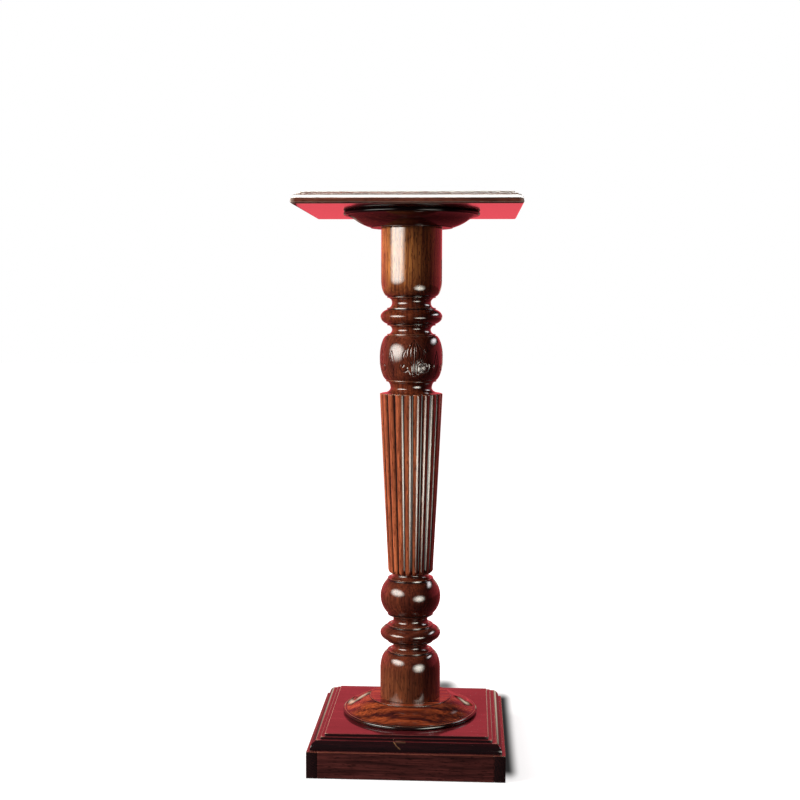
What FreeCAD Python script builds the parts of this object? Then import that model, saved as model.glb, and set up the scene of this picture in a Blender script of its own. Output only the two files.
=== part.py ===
import FreeCAD, Part
import math
import os

# A turned and reeded wooden pedestal. Millimetres, +Z up, the front towards -Y.
# The origin is on the floor, at the centre of the square plinth box.

V = FreeCAD.Vector
CENTRE = V(0, 0, 0)
UP = V(0, 0, 1)
DOWN = V(0, 0, -1)
SAME = 1e-6                  # points closer than this are one point

# ---------------------------------------------------------------- plinth box and its board
BOX_WIDTH = 308.0            # outside width of the square box, both ways
BOX_HEIGHT = 42.0            # height of the box boards
BOX_BOARD = 17.5             # thickness of the box boards

PLINTH_WIDTH = 298.0         # the plinth board at its widest, inside the box's outer faces
PLINTH_THICK = 21.0
PLINTH_RISER_1 = 3.3         # drop from the raised field to the first ledge
PLINTH_LEDGE_1 = 6.2
PLINTH_RISER_2 = 3.2         # drop to the second ledge
PLINTH_LEDGE_2 = 6.2
PLINTH_OVOLO_W = 9.0         # the large round outside the ledges
PLINTH_OVOLO_H = 13.0
PLINTH_OVOLO_BULGE = 2.4     # how far the round stands out of its straight chord
PLINTH_ARRIS = 0.5           # chamfer under the board's edge

# ---------------------------------------------------------------- top board
TOP_WIDTH = 347.0
TOP_THICK = 19.0
TOP_RISER_1 = 3.0
TOP_LEDGE_1 = 5.0
TOP_RISER_2 = 2.0
TOP_LEDGE_2 = 3.0
TOP_OVOLO_W = 5.5
TOP_OVOLO_H = 11.0
TOP_OVOLO_BULGE = 1.4
TOP_ARRIS = 2.0

# ---------------------------------------------------------------- collar and flange, one pattern
DISC_RADIUS = 110.0
DISC_RISE = 26.0             # from the disc's flat back to the column's shoulder
DISC_RIM = 6.5               # height of the rounded rim
DISC_RIM_BULGE = 2.5         # how far the rim's round stands out of its chord
DISC_QUIRK_RADIUS = 106.0    # the dome starts this far out, inside the rim
DISC_COVE_RADIUS = 90.0      # where the hollow outer part turns into the round inner part
DISC_COVE_RISE = 7.5
DISC_COVE_BULGE = -0.9       # how far the hollow part lies inside a straight cone
DISC_DOME_BULGE = 1.2        # and how far the round part stands out of one
DISC_STEP_RADIUS = 66.3      # fine step ring at the top of the dome
DISC_STEP = 1.0

# ---------------------------------------------------------------- turned fillets, necks and rings
UPPER_FILLET_RADIUS = 39.4
LOWER_FILLET_RADIUS = 37.3
FILLET_HEIGHT = 2.6
COVE_STEP = 1.2              # a cove starts this far inside its fillets
UPPER_NECK_RADIUS = 31.6
UPPER_DRUM_COVE = 16.0       # height of the cove beside the drum
UPPER_BALL_COVE = 13.8       # and of the one beside the ball
LOWER_NECK_RADIUS = 28.0
LOWER_DRUM_COVE = 14.0
LOWER_BALL_COVE = 16.0
RING_HEIGHT = 23.3
RING_DEPTH = 20.0            # half width of the oval that rounds a ring
UPPER_RING_RADIUS = 50.1
LOWER_RING_RADIUS = 49.3

# ---------------------------------------------------------------- upper turning
UPPER_DRUM_RADIUS = 49.2
UPPER_DRUM_HEIGHT = 84.5     # the straight part
UPPER_DRUM_ROUND = 25.0      # height of the drum's rounded end
UPPER_DRUM_DEPTH = 10.6      # half width of the oval that rounds it
CARVED_BALL_RADIUS = 51.3
CARVED_BALL_HEIGHT = 71.6
CARVED_BALL_DEPTH = 13.4     # half width of the oval that rounds it
CARVED_BALL_END = 41.1       # radius where the ball meets its fillets
FLARE_RADIUS = 48.5          # foot of the flared neck, on the shaft's top
FLARE_LIP = 0.6              # upright edge of that foot
FLARE_NECK_RADIUS = 33.8
FLARE_HEIGHT = 8.6           # from the lip up to the narrowest point
FLARE_COVE = 10.4            # from the narrowest point up to the ball's fillet

# ---------------------------------------------------------------- reeded shaft
SHAFT_LENGTH = 295.5
SHAFT_TOP_RADIUS = 51.3      # over the crests of the reeds
SHAFT_FOOT_RADIUS = 36.8
SHAFT_END_RADIUS = 29.5      # flat end below the reeds' rounded ends
SHAFT_END_HEIGHT = 9.0
SHAFT_END_BULGE = 2.4
REEDS = 20
REED_DEPTH_TOP = 3.2         # crest to quirk
REED_DEPTH_FOOT = 2.4
REED_TURN = 5.5              # one quirk stands this many degrees right of the front

# ---------------------------------------------------------------- lower turning
FOOT_DRUM_RADIUS = 49.3
FOOT_DRUM_HEIGHT = 45.3      # the straight part
FOOT_DRUM_ROUND = 29.0
FOOT_DRUM_DEPTH = 13.0
PLAIN_BALL_RADIUS = 49.2
PLAIN_BALL_HEIGHT = 56.2
PLAIN_BALL_DEPTH = 41.0      # half width of the oval that rounds it
THROAT_RADIUS = 27.8         # neck under the shaft
THROAT_HEIGHT = 6.9

# ---------------------------------------------------------------- spigots and dowels
SPIGOT_RADIUS = 15.0
SPIGOT_LENGTH = 38.0         # between the column's sections
SPIGOT_FIT = 0.15            # glue gap round a spigot or dowel
SPIGOT_END_GAP = 1.5         # glue room past the end of a spigot or dowel
SPIGOT_CHAMFER = 1.5
TOP_SPIGOT_ENTRY = 11.0      # how far the top spigot enters the top board
FOOT_SPIGOT_SHY = 2.0        # the foot spigot stops this far inside the plinth board

DOWELS = 4
DOWEL_RADIUS = 4.0
DOWEL_LENGTH = 18.0          # half in the flange and half in the top board
DOWEL_CIRCLE = 72.0          # radius of the circle of dowels

# ---------------------------------------------------------------- glue blocks and screws
BLOCK_WIDTH = 32.0           # square in plan
BLOCK_HEIGHT = 36.0

SCREW_FIT = 0.1              # gap round a screw in its hole
SCREW_END_GAP = 1.0
SCREW_POINT = 6.0            # length of a screw's point
SLOT_WIDTH = 1.2             # screwdriver slot
SLOT_DEPTH = 1.0
BLOCK_SCREW_RADIUS = 2.0
BLOCK_SCREW_HEAD = 4.0       # radius over the head
BLOCK_SCREW_LENGTH = 38.0
BLOCK_SCREW_SINK = 10.0      # depth of the counterbore under the head
COLLAR_SCREWS = 4
COLLAR_SCREW_RADIUS = 2.25
COLLAR_SCREW_HEAD = 4.5
COLLAR_SCREW_LENGTH = 34.0
COLLAR_SCREW_CIRCLE = 54.0   # radius of the circle of collar screws

FOOT_SCREW_RADIUS = 4.0
FOOT_SCREW_LENGTH = 70.0     # below the head
FOOT_SCREW_FLATS = 13.0      # across the hexagon's flats
FOOT_SCREW_HEAD = 5.5        # height of the hexagon
WASHER_RADIUS = 24.0
WASHER_THICK = 2.5
WASHER_HOLE = 4.5

# ---------------------------------------------------------------- levels, floor upwards
PLINTH_TOP = BOX_HEIGHT + PLINTH_THICK
COLLAR_TOP = PLINTH_TOP + DISC_RISE


class Outline:
    """Half section of a turning or moulding, walked upwards: radius along X, height along Z."""

    def __init__(self, level):
        self.start = V(0, 0, level)
        self.here = self.start
        self.edges = []

    def line(self, radius, rise=0.0):
        there = V(radius, 0, self.here.z + rise)
        if not there.isEqual(self.here, SAME):
            self.edges.append(Part.makeLine(self.here, there))
        self.here = there

    def arc(self, radius, rise, bulge):
        """Round stretch that stands out of its straight chord by bulge, or in when it is negative."""
        there = V(radius, 0, self.here.z + rise)
        along = there - self.here
        outward = V(along.z, 0, -along.x).normalize()
        middle = (self.here + there) * 0.5 + outward * bulge
        self.edges.append(Part.Arc(self.here, middle, there).toShape())
        self.here = there

    def bend(self, radius, rise, depth, upright_end):
        """Stretch of an oval that is upright at its end, or else at its start.

        depth is the oval's half width, and its half height follows from the two points.
        """
        there = V(radius, 0, self.here.z + rise)
        upright, sloping = (there, self.here) if upright_end else (self.here, there)
        step = sloping.x - upright.x
        middle = upright + V(math.copysign(depth, step), 0, 0)
        half_height = rise / math.sqrt(1 - (1 - abs(step) / depth) ** 2)
        long_end, short_end = V(upright), middle + UP * half_height
        if half_height > depth:
            long_end, short_end = short_end, long_end
        oval = Part.Ellipse(long_end, short_end, middle)
        turns = [oval.parameter(self.here), oval.parameter(there)]
        if (turns[1] - turns[0]) % (2 * math.pi) > math.pi:
            turns.reverse()
        self.edges.append(Part.ArcOfEllipse(oval, *turns).toShape())
        self.here = there

    def belly(self, radius, height, depth, end_radius):
        """Ring or ball, widest at its middle."""
        self.line(end_radius)
        self.bend(radius, height / 2, depth, True)
        self.bend(end_radius, height / 2, depth, False)

    def fillet(self, radius):
        """Narrow upright band."""
        self.line(radius)
        self.line(radius, FILLET_HEIGHT)

    def neck(self, radius, height, fillet_radius):
        """Fillet, cove and fillet."""
        edge = fillet_radius - COVE_STEP
        self.fillet(fillet_radius)
        self.line(edge)
        self.bend(radius, height / 2, edge - radius, True)
        self.bend(edge, height / 2, edge - radius, False)
        self.fillet(fillet_radius)

    def section(self):
        """Flat face between the outline and the axis."""
        self.line(0)
        self.edges.append(Part.makeLine(self.here, self.start))
        return Part.Face(Part.Wire(self.edges))

    def turned(self):
        return self.section().revolve(CENTRE, UP, 360)


def save(node, *solids):
    """Write one piece, or a group of like pieces, under its node's name."""
    piece = solids[0] if len(solids) == 1 else Part.makeCompound(solids)
    piece.exportStep("parts/" + node + ".step")


def on_circle(radius, count, level):
    """Points spread evenly on a circle about the column's axis, the first on a diagonal."""
    turns = [math.radians(45 + 360.0 * k / count) for k in range(count)]
    return [V(radius * math.cos(t), radius * math.sin(t), level) for t in turns]


# ---------------------------------------------------------------- spigots, dowels and screws

def spigot(length, base, direction):
    """Round spigot with a chamfered end, standing on base."""
    plain = length - SPIGOT_CHAMFER
    bar = Part.makeCylinder(SPIGOT_RADIUS, plain, base, direction)
    end_radius = SPIGOT_RADIUS - SPIGOT_CHAMFER
    end = Part.makeCone(SPIGOT_RADIUS, end_radius, SPIGOT_CHAMFER, base + direction * plain, direction)
    return bar.fuse(end)


def spigot_hole(depth, mouth, direction):
    return Part.makeCylinder(SPIGOT_RADIUS + SPIGOT_FIT, depth, mouth, direction)


def wood_screw(radius, head_radius, length, seat):
    """Slotted countersunk screw that points up, the flat of its head at seat."""
    head = Part.makeCone(head_radius, radius, head_radius - radius, seat, UP)
    shank = Part.makeCylinder(radius, length - SCREW_POINT, seat, UP)
    point = Part.makeCone(radius, radius / 5, SCREW_POINT, seat + UP * (length - SCREW_POINT), UP)
    slot = Part.makeBox(2 * head_radius, SLOT_WIDTH, SLOT_DEPTH, seat - V(head_radius, SLOT_WIDTH / 2, 0))
    return head.fuse([shank, point]).removeSplitter().cut(slot)


def screw_hole(radius, head_radius, length, seat):
    """Countersunk hole for a wood screw."""
    sink = Part.makeCone(head_radius, radius, head_radius - radius, seat, UP)
    return sink.fuse(Part.makeCylinder(radius + SCREW_FIT, length + SCREW_END_GAP, seat, UP))


# ---------------------------------------------------------------- boards

def moulded_board(level, width, thick, steps, ovolo, bulge, arris):
    """Square board with the same moulding on all four edges, mitred at the corners.

    steps holds the (ledge, riser) pairs from the ovolo inwards, and ovolo its (width, height).
    """
    ovolo_width, ovolo_height = ovolo
    upright = thick - arris - ovolo_height - sum(riser for ledge, riser in steps)
    edge = Outline(level)
    edge.line(width / 2 - arris)
    edge.line(width / 2, arris)
    edge.line(width / 2, upright)
    edge.arc(width / 2 - ovolo_width, ovolo_height, bulge)
    for ledge, riser in steps:
        edge.line(edge.here.x - ledge)
        edge.line(edge.here.x, riser)
    half = edge.section()
    half.translate(V(0, -width / 2, 0))
    run = half.extrude(V(0, width, 0))
    both = run.fuse(run.mirror(CENTRE, V(1, 0, 0))).removeSplitter()
    across = both.copy()
    across.rotate(CENTRE, UP, 90)
    return both.common(across).removeSplitter()


def block_corners():
    """Lowest corner of each glue block, by its place in the box."""
    inside = BOX_WIDTH / 2 - BOX_BOARD
    near, far = -inside, inside - BLOCK_WIDTH
    base = BOX_HEIGHT - BLOCK_HEIGHT
    return {
        "front_left": V(near, near, base),
        "front_right": V(far, near, base),
        "back_left": V(near, far, base),
        "back_right": V(far, far, base),
    }


def block_screw_seats():
    """Where the flats of the block screws' heads lie, at the top of their counterbores."""
    middle = V(BLOCK_WIDTH / 2, BLOCK_WIDTH / 2, BLOCK_SCREW_SINK)
    return {place: corner + middle for place, corner in block_corners().items()}


def make_box():
    """Four boards butted at the corners: the side boards show their end grain at the front."""
    half = BOX_WIDTH / 2
    between = BOX_WIDTH - 2 * BOX_BOARD
    side = Part.makeBox(BOX_BOARD, BOX_WIDTH, BOX_HEIGHT)
    cross = Part.makeBox(between, BOX_BOARD, BOX_HEIGHT)
    save("apron_left", side.translated(V(-half, -half, 0)))
    save("apron_right", side.translated(V(half - BOX_BOARD, -half, 0)))
    save("apron_front", cross.translated(V(-between / 2, -half, 0)))
    save("apron_back", cross.translated(V(-between / 2, half - BOX_BOARD, 0)))


def make_blocks():
    """Glue blocks in the box corners, each with a counterbored screw into the plinth board."""
    size = (BLOCK_SCREW_RADIUS, BLOCK_SCREW_HEAD, BLOCK_SCREW_LENGTH)
    seats = block_screw_seats()
    for place, corner in block_corners().items():
        block = Part.makeBox(BLOCK_WIDTH, BLOCK_WIDTH, BLOCK_HEIGHT, corner)
        sink = Part.makeCylinder(BLOCK_SCREW_HEAD, BLOCK_SCREW_SINK, seats[place], DOWN)
        hole = screw_hole(*size, seats[place])
        save("corner_block_" + place, block.cut([sink, hole]))
    save("block_screws", *[wood_screw(*size, seat) for seat in seats.values()])


def make_plinth_board():
    board = moulded_board(
        BOX_HEIGHT, PLINTH_WIDTH, PLINTH_THICK,
        [(PLINTH_LEDGE_2, PLINTH_RISER_2), (PLINTH_LEDGE_1, PLINTH_RISER_1)],
        (PLINTH_OVOLO_W, PLINTH_OVOLO_H), PLINTH_OVOLO_BULGE, PLINTH_ARRIS)
    holes = [spigot_hole(PLINTH_THICK, V(0, 0, BOX_HEIGHT), UP)]
    for seat in block_screw_seats().values():
        holes.append(screw_hole(BLOCK_SCREW_RADIUS, BLOCK_SCREW_HEAD, BLOCK_SCREW_LENGTH, seat))
    for seat in on_circle(COLLAR_SCREW_CIRCLE, COLLAR_SCREWS, BOX_HEIGHT):
        holes.append(screw_hole(COLLAR_SCREW_RADIUS, COLLAR_SCREW_HEAD, COLLAR_SCREW_LENGTH, seat))
    save("plinth_board", board.cut(holes))


def make_top_board(level):
    board = moulded_board(
        level, TOP_WIDTH, TOP_THICK,
        [(TOP_LEDGE_2, TOP_RISER_2), (TOP_LEDGE_1, TOP_RISER_1)],
        (TOP_OVOLO_W, TOP_OVOLO_H), TOP_OVOLO_BULGE, TOP_ARRIS)
    holes = [spigot_hole(TOP_SPIGOT_ENTRY + SPIGOT_END_GAP, V(0, 0, level), UP)]
    for mouth in on_circle(DOWEL_CIRCLE, DOWELS, level):
        depth = DOWEL_LENGTH / 2 + SPIGOT_END_GAP
        holes.append(Part.makeCylinder(DOWEL_RADIUS + SPIGOT_FIT, depth, mouth, UP))
    save("top_board", board.cut(holes))


# ---------------------------------------------------------------- collar and flange

def disc():
    """Turned disc on its flat back: thin round rim, shallow dome, fine step and a flat seat."""
    edge = Outline(0)
    edge.line(DISC_RADIUS - DISC_RIM_BULGE)
    edge.arc(DISC_RADIUS - DISC_RIM_BULGE, DISC_RIM, DISC_RIM_BULGE)
    edge.line(DISC_QUIRK_RADIUS)
    edge.arc(DISC_COVE_RADIUS, DISC_COVE_RISE, DISC_COVE_BULGE)
    edge.arc(DISC_STEP_RADIUS, DISC_RISE - DISC_RIM - DISC_COVE_RISE - DISC_STEP, DISC_DOME_BULGE)
    edge.line(DISC_STEP_RADIUS, DISC_STEP)
    return edge.turned().cut(spigot_hole(DISC_RISE, CENTRE, UP))


def make_collar():
    collar = disc().translated(V(0, 0, PLINTH_TOP))
    seats = on_circle(COLLAR_SCREW_CIRCLE, COLLAR_SCREWS, BOX_HEIGHT)
    size = (COLLAR_SCREW_RADIUS, COLLAR_SCREW_HEAD, COLLAR_SCREW_LENGTH)
    save("base_collar", collar.cut([screw_hole(*size, seat) for seat in seats]))
    save("collar_screws", *[wood_screw(*size, seat) for seat in seats])


def make_flange(level):
    """The same disc, back upwards under the top board, with its dowels pushed home."""
    flange = disc().mirror(CENTRE, UP).translated(V(0, 0, level))
    feet = on_circle(DOWEL_CIRCLE, DOWELS, level - DOWEL_LENGTH / 2)
    holes = [Part.makeCylinder(DOWEL_RADIUS + SPIGOT_FIT, DOWEL_LENGTH / 2, foot, UP) for foot in feet]
    save("top_flange", flange.cut(holes))
    save("flange_dowels", *[Part.makeCylinder(DOWEL_RADIUS, DOWEL_LENGTH, foot, UP) for foot in feet])


# ---------------------------------------------------------------- column

def lower_outline():
    edge = Outline(COLLAR_TOP)
    edge.line(FOOT_DRUM_RADIUS)
    edge.line(FOOT_DRUM_RADIUS, FOOT_DRUM_HEIGHT)
    edge.bend(LOWER_FILLET_RADIUS, FOOT_DRUM_ROUND, FOOT_DRUM_DEPTH, False)
    edge.neck(LOWER_NECK_RADIUS, LOWER_DRUM_COVE, LOWER_FILLET_RADIUS)
    edge.belly(LOWER_RING_RADIUS, RING_HEIGHT, RING_DEPTH, LOWER_FILLET_RADIUS)
    edge.neck(LOWER_NECK_RADIUS, LOWER_BALL_COVE, LOWER_FILLET_RADIUS)
    edge.belly(PLAIN_BALL_RADIUS, PLAIN_BALL_HEIGHT, PLAIN_BALL_DEPTH, LOWER_FILLET_RADIUS)
    edge.fillet(LOWER_FILLET_RADIUS)
    throat_edge = LOWER_FILLET_RADIUS - COVE_STEP
    edge.line(throat_edge)
    edge.bend(THROAT_RADIUS, THROAT_HEIGHT, throat_edge - THROAT_RADIUS, True)
    return edge


def upper_outline(level):
    edge = Outline(level)
    edge.line(FLARE_RADIUS)
    edge.line(FLARE_RADIUS, FLARE_LIP)
    edge.bend(FLARE_NECK_RADIUS, FLARE_HEIGHT, FLARE_RADIUS - FLARE_NECK_RADIUS, True)
    flare_edge = CARVED_BALL_END - COVE_STEP
    edge.bend(flare_edge, FLARE_COVE, flare_edge - FLARE_NECK_RADIUS, False)
    edge.fillet(CARVED_BALL_END)
    edge.belly(CARVED_BALL_RADIUS, CARVED_BALL_HEIGHT, CARVED_BALL_DEPTH, CARVED_BALL_END)
    edge.neck(UPPER_NECK_RADIUS, UPPER_BALL_COVE, UPPER_FILLET_RADIUS)
    edge.belly(UPPER_RING_RADIUS, RING_HEIGHT, RING_DEPTH, UPPER_FILLET_RADIUS)
    edge.neck(UPPER_NECK_RADIUS, UPPER_DRUM_COVE, UPPER_FILLET_RADIUS)
    edge.bend(UPPER_DRUM_RADIUS, UPPER_DRUM_ROUND, UPPER_DRUM_DEPTH, True)
    edge.line(UPPER_DRUM_RADIUS, UPPER_DRUM_HEIGHT)
    return edge


def make_lower_turning():
    """Drum, ring and ball, with a spigot at each end, drawn down by the foot screw."""
    edge = lower_outline()
    shaft_foot = edge.here.z
    foot_length = DISC_RISE + PLINTH_THICK - FOOT_SPIGOT_SHY
    foot = spigot(foot_length, V(0, 0, COLLAR_TOP), DOWN)
    head = spigot(SPIGOT_LENGTH, V(0, 0, shaft_foot), UP)
    seat = V(0, 0, BOX_HEIGHT - WASHER_THICK)
    pilot = Part.makeCylinder(FOOT_SCREW_RADIUS + SCREW_FIT, FOOT_SCREW_LENGTH + SCREW_END_GAP, seat, UP)
    save("column_lower", edge.turned().fuse([foot, head]).cut(pilot).removeSplitter())
    return shaft_foot


def reeded_wire(crest, depth, level):
    """Closed ring of convex reeds that meet in sharp quirks."""
    pitch = 2 * math.pi / REEDS
    first = math.radians(REED_TURN)

    def point(radius, turn):
        return V(radius * math.sin(turn), -radius * math.cos(turn), level)

    reeds = []
    for k in range(REEDS):
        turn = first + k * pitch
        quirk = point(crest - depth, turn)
        next_quirk = point(crest - depth, turn + pitch)
        reeds.append(Part.Arc(quirk, point(crest, turn + pitch / 2), next_quirk).toShape())
    return Part.Wire(reeds)


def make_shaft(level):
    """Tapered reeded shaft: square at the top, the reeds rounded off at the foot."""
    foot = reeded_wire(SHAFT_FOOT_RADIUS, REED_DEPTH_FOOT, level)
    top = reeded_wire(SHAFT_TOP_RADIUS, REED_DEPTH_TOP, level + SHAFT_LENGTH)
    reeded = Part.makeLoft([foot, top], True, True)
    edge = Outline(level)
    edge.line(SHAFT_END_RADIUS)
    edge.arc(SHAFT_FOOT_RADIUS + REED_DEPTH_FOOT, SHAFT_END_HEIGHT, SHAFT_END_BULGE)
    edge.line(SHAFT_TOP_RADIUS + REED_DEPTH_TOP, SHAFT_LENGTH - SHAFT_END_HEIGHT)
    shaft = reeded.common(edge.turned())
    depth = SPIGOT_LENGTH + SPIGOT_END_GAP
    shaft_top = level + SHAFT_LENGTH
    holes = [spigot_hole(depth, V(0, 0, level), UP), spigot_hole(depth, V(0, 0, shaft_top), DOWN)]
    save("column_shaft", shaft.cut(holes))
    return shaft_top


def make_upper_turning(level):
    """Flared neck, ball, ring and drum, with a spigot at each end."""
    edge = upper_outline(level)
    column_top = edge.here.z
    foot = spigot(SPIGOT_LENGTH, V(0, 0, level), DOWN)
    head = spigot(DISC_RISE + TOP_SPIGOT_ENTRY, V(0, 0, column_top), UP)
    save("column_upper", edge.turned().fuse([foot, head]).removeSplitter())
    return column_top


def make_foot_screw():
    """Hexagon-headed coach screw and its washer, up into the foot of the column."""
    washer = Part.makeCylinder(WASHER_RADIUS, WASHER_THICK, V(0, 0, BOX_HEIGHT), DOWN)
    hole = Part.makeCylinder(WASHER_HOLE, WASHER_THICK, V(0, 0, BOX_HEIGHT), DOWN)
    save("foot_washer", washer.cut(hole))
    seat = V(0, 0, BOX_HEIGHT - WASHER_THICK)
    across = FOOT_SCREW_FLATS / math.sqrt(3)
    corners = [V(across * math.cos(k * math.pi / 3), across * math.sin(k * math.pi / 3), seat.z)
               for k in range(7)]
    head = Part.Face(Part.makePolygon(corners)).extrude(DOWN * FOOT_SCREW_HEAD)
    plain = FOOT_SCREW_LENGTH - SCREW_POINT
    shank = Part.makeCylinder(FOOT_SCREW_RADIUS, plain, seat, UP)
    point = Part.makeCone(FOOT_SCREW_RADIUS, FOOT_SCREW_RADIUS / 5, SCREW_POINT, seat + UP * plain, UP)
    save("foot_screw", head.fuse([shank, point]).removeSplitter())


os.makedirs("parts", exist_ok=True)
make_box()
make_blocks()
make_plinth_board()
make_collar()
make_foot_screw()
shaft_foot = make_lower_turning()
shaft_top = make_shaft(shaft_foot)
column_top = make_upper_turning(shaft_top)
make_flange(column_top + DISC_RISE)
make_top_board(column_top + DISC_RISE)
print("overall height", column_top + DISC_RISE + TOP_THICK)
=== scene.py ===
import logging
import math
from dataclasses import dataclass, field
from enum import Enum

import bmesh
import bpy
import numpy as np
from mathutils import Matrix, Vector


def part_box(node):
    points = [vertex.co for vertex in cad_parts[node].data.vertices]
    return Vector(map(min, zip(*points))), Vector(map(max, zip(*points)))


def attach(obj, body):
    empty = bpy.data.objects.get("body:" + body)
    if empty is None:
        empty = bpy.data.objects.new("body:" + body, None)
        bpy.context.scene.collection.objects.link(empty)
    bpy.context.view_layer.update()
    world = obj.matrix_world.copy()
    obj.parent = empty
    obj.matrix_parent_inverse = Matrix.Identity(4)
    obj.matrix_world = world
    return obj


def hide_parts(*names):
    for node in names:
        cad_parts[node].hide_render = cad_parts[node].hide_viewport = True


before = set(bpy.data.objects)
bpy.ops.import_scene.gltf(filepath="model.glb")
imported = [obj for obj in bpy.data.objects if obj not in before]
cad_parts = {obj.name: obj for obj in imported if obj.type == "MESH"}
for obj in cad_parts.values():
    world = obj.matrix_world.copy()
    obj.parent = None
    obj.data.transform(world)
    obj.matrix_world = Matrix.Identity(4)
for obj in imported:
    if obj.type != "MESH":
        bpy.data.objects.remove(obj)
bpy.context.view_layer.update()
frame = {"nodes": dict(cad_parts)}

# A turned, carved and reeded wooden pedestal. Metres, +Z up, the front towards -Y.

LOG = logging.getLogger("pedestal")
BODY = "root"
DOUBLE_POINT = 2e-6
CORNER_STEPS = 4

Value = float | int | tuple | bpy.types.NodeSocket | None
Tint = tuple[float, float, float]
Chain = tuple[tuple[float, float], ...]


class Grain(Enum):
    """Which way a piece's grain runs, as the order of axes that puts the grain last."""

    UPRIGHT = ("X", "Y", "Z")
    ACROSS = ("Y", "Z", "X")
    FORE_AND_AFT = ("Z", "X", "Y")


class Slot(Enum):
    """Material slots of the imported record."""

    POLISHED = "polished_wood"


# ---------------------------------------------------------------- node trees

class Nodes:
    """Short calls that add nodes to a material's, the world's or a geometry tree, and wire them up."""

    def __init__(self, tree: bpy.types.NodeTree) -> None:
        """Start in an empty tree."""
        self.tree = tree

    def add(self, kind: str, inputs: dict | None = None, **settings: object) -> bpy.types.Node:
        """Add one node.

        Args:
            kind: the node's type name.
            inputs: a value or another node's socket for each input, by name or number.
            settings: the node's own options.

        Returns:
            The new node.
        """
        node = self.tree.nodes.new(kind)
        for key, value in settings.items():
            setattr(node, key, value)
        for key, value in (inputs or {}).items():
            self.feed(node.inputs[key], value)
        return node

    def feed(self, socket: bpy.types.NodeSocket, value: Value) -> None:
        """Give an input socket a value, or link another socket to it.

        Args:
            socket: the input.
            value: a number, a tuple or the socket that it is linked to, and nothing to leave it.
        """
        if isinstance(value, bpy.types.NodeSocket):
            self.tree.links.new(value, socket)
        elif value is not None:
            socket.default_value = value

    def math(self, operation: str, a: Value, b: Value = None, clamp: bool = False) -> bpy.types.NodeSocket:
        """One step of arithmetic.

        Args:
            operation: the Math node's operation.
            a: first number or socket.
            b: second number or socket.
            clamp: keep the result between 0 and 1.

        Returns:
            The result's socket.
        """
        node = self.add("ShaderNodeMath", {0: a, 1: b}, operation=operation, use_clamp=clamp)
        return node.outputs[0]

    def vector(self, operation: str, a: Value, b: Value = None,
               scale: float | None = None) -> bpy.types.NodeSocket:
        """One step of vector arithmetic.

        Args:
            operation: the Vector Math node's operation.
            a: first vector or socket.
            b: second vector or socket.
            scale: the factor of a SCALE step.

        Returns:
            The result's socket, a number for LENGTH.
        """
        given = {0: a, 1: b} if scale is None else {0: a, "Scale": scale}
        node = self.add("ShaderNodeVectorMath", given, operation=operation)
        return node.outputs["Value" if operation == "LENGTH" else "Vector"]

    def coordinates(self) -> bpy.types.NodeSocket:
        """Coordinates in the object's own space."""
        return self.add("ShaderNodeTexCoord").outputs["Object"]

    def noise(self, place: Value, scale: float, detail: float = 2.0) -> bpy.types.Node:
        """Noise texture at a place, with its cells per metre as scale."""
        return self.add("ShaderNodeTexNoise", {"Vector": place, "Scale": scale, "Detail": detail})

    def reach(self, value: Value, start: float, end: float, low: float = 0.0, high: float = 1.0,
              smooth: bool = False) -> bpy.types.NodeSocket:
        """Number that goes from low to high as a value goes from start to end.

        Args:
            value: the value's socket.
            start: where the change starts.
            end: where it ends.
            low: the number up to the start.
            high: the number from the end on.
            smooth: ease the change at both ends.

        Returns:
            The number's socket.
        """
        node = self.add("ShaderNodeMapRange", {
            "Value": value, "From Min": start, "From Max": end, "To Min": low, "To Max": high})
        node.interpolation_type = "SMOOTHSTEP" if smooth else "LINEAR"
        return node.outputs[0]

    def ramp(self, value: Value, *stops: tuple[float, float]) -> bpy.types.NodeSocket:
        """Grey ramp.

        Args:
            value: the socket that runs along the ramp.
            stops: pairs of position and grey.

        Returns:
            The ramp's grey as a socket.
        """
        node = self.add("ShaderNodeValToRGB", {0: value})
        elements = node.color_ramp.elements
        while len(elements) < len(stops):
            elements.new(0.5)
        for element, (position, grey) in zip(elements, stops):
            element.position = position
            element.color = (grey, grey, grey, 1)
        return node.outputs["Color"]

    def mix(self, amount: Value, a: Value, b: Value, blend: str = "MIX") -> bpy.types.NodeSocket:
        """Mix of two colours.

        Args:
            amount: how much of b shows.
            a: first colour or socket.
            b: second colour or socket.
            blend: the way they are mixed.

        Returns:
            The mixed colour's socket.
        """
        node = self.add("ShaderNodeMix", {"Factor": amount}, data_type="RGBA", blend_type=blend)
        self.feed(node.inputs[6], colour(a))
        self.feed(node.inputs[7], colour(b))
        return node.outputs[2]


def colour(value: Value) -> Value:
    """A colour of three numbers with its alpha, and anything else as it is."""
    return (*value, 1.0) if isinstance(value, tuple) and len(value) == 3 else value


def new_material(name: str) -> tuple[bpy.types.Material, Nodes, bpy.types.Node]:
    """Material with an empty tree and its output.

    Args:
        name: the material's name.

    Returns:
        The material, its tree's calls and its output node.
    """
    material = bpy.data.materials.new(name)
    material.use_nodes = True
    material.node_tree.nodes.clear()
    nodes = Nodes(material.node_tree)
    return material, nodes, nodes.add("ShaderNodeOutputMaterial")


# ---------------------------------------------------------------- finishes

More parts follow.
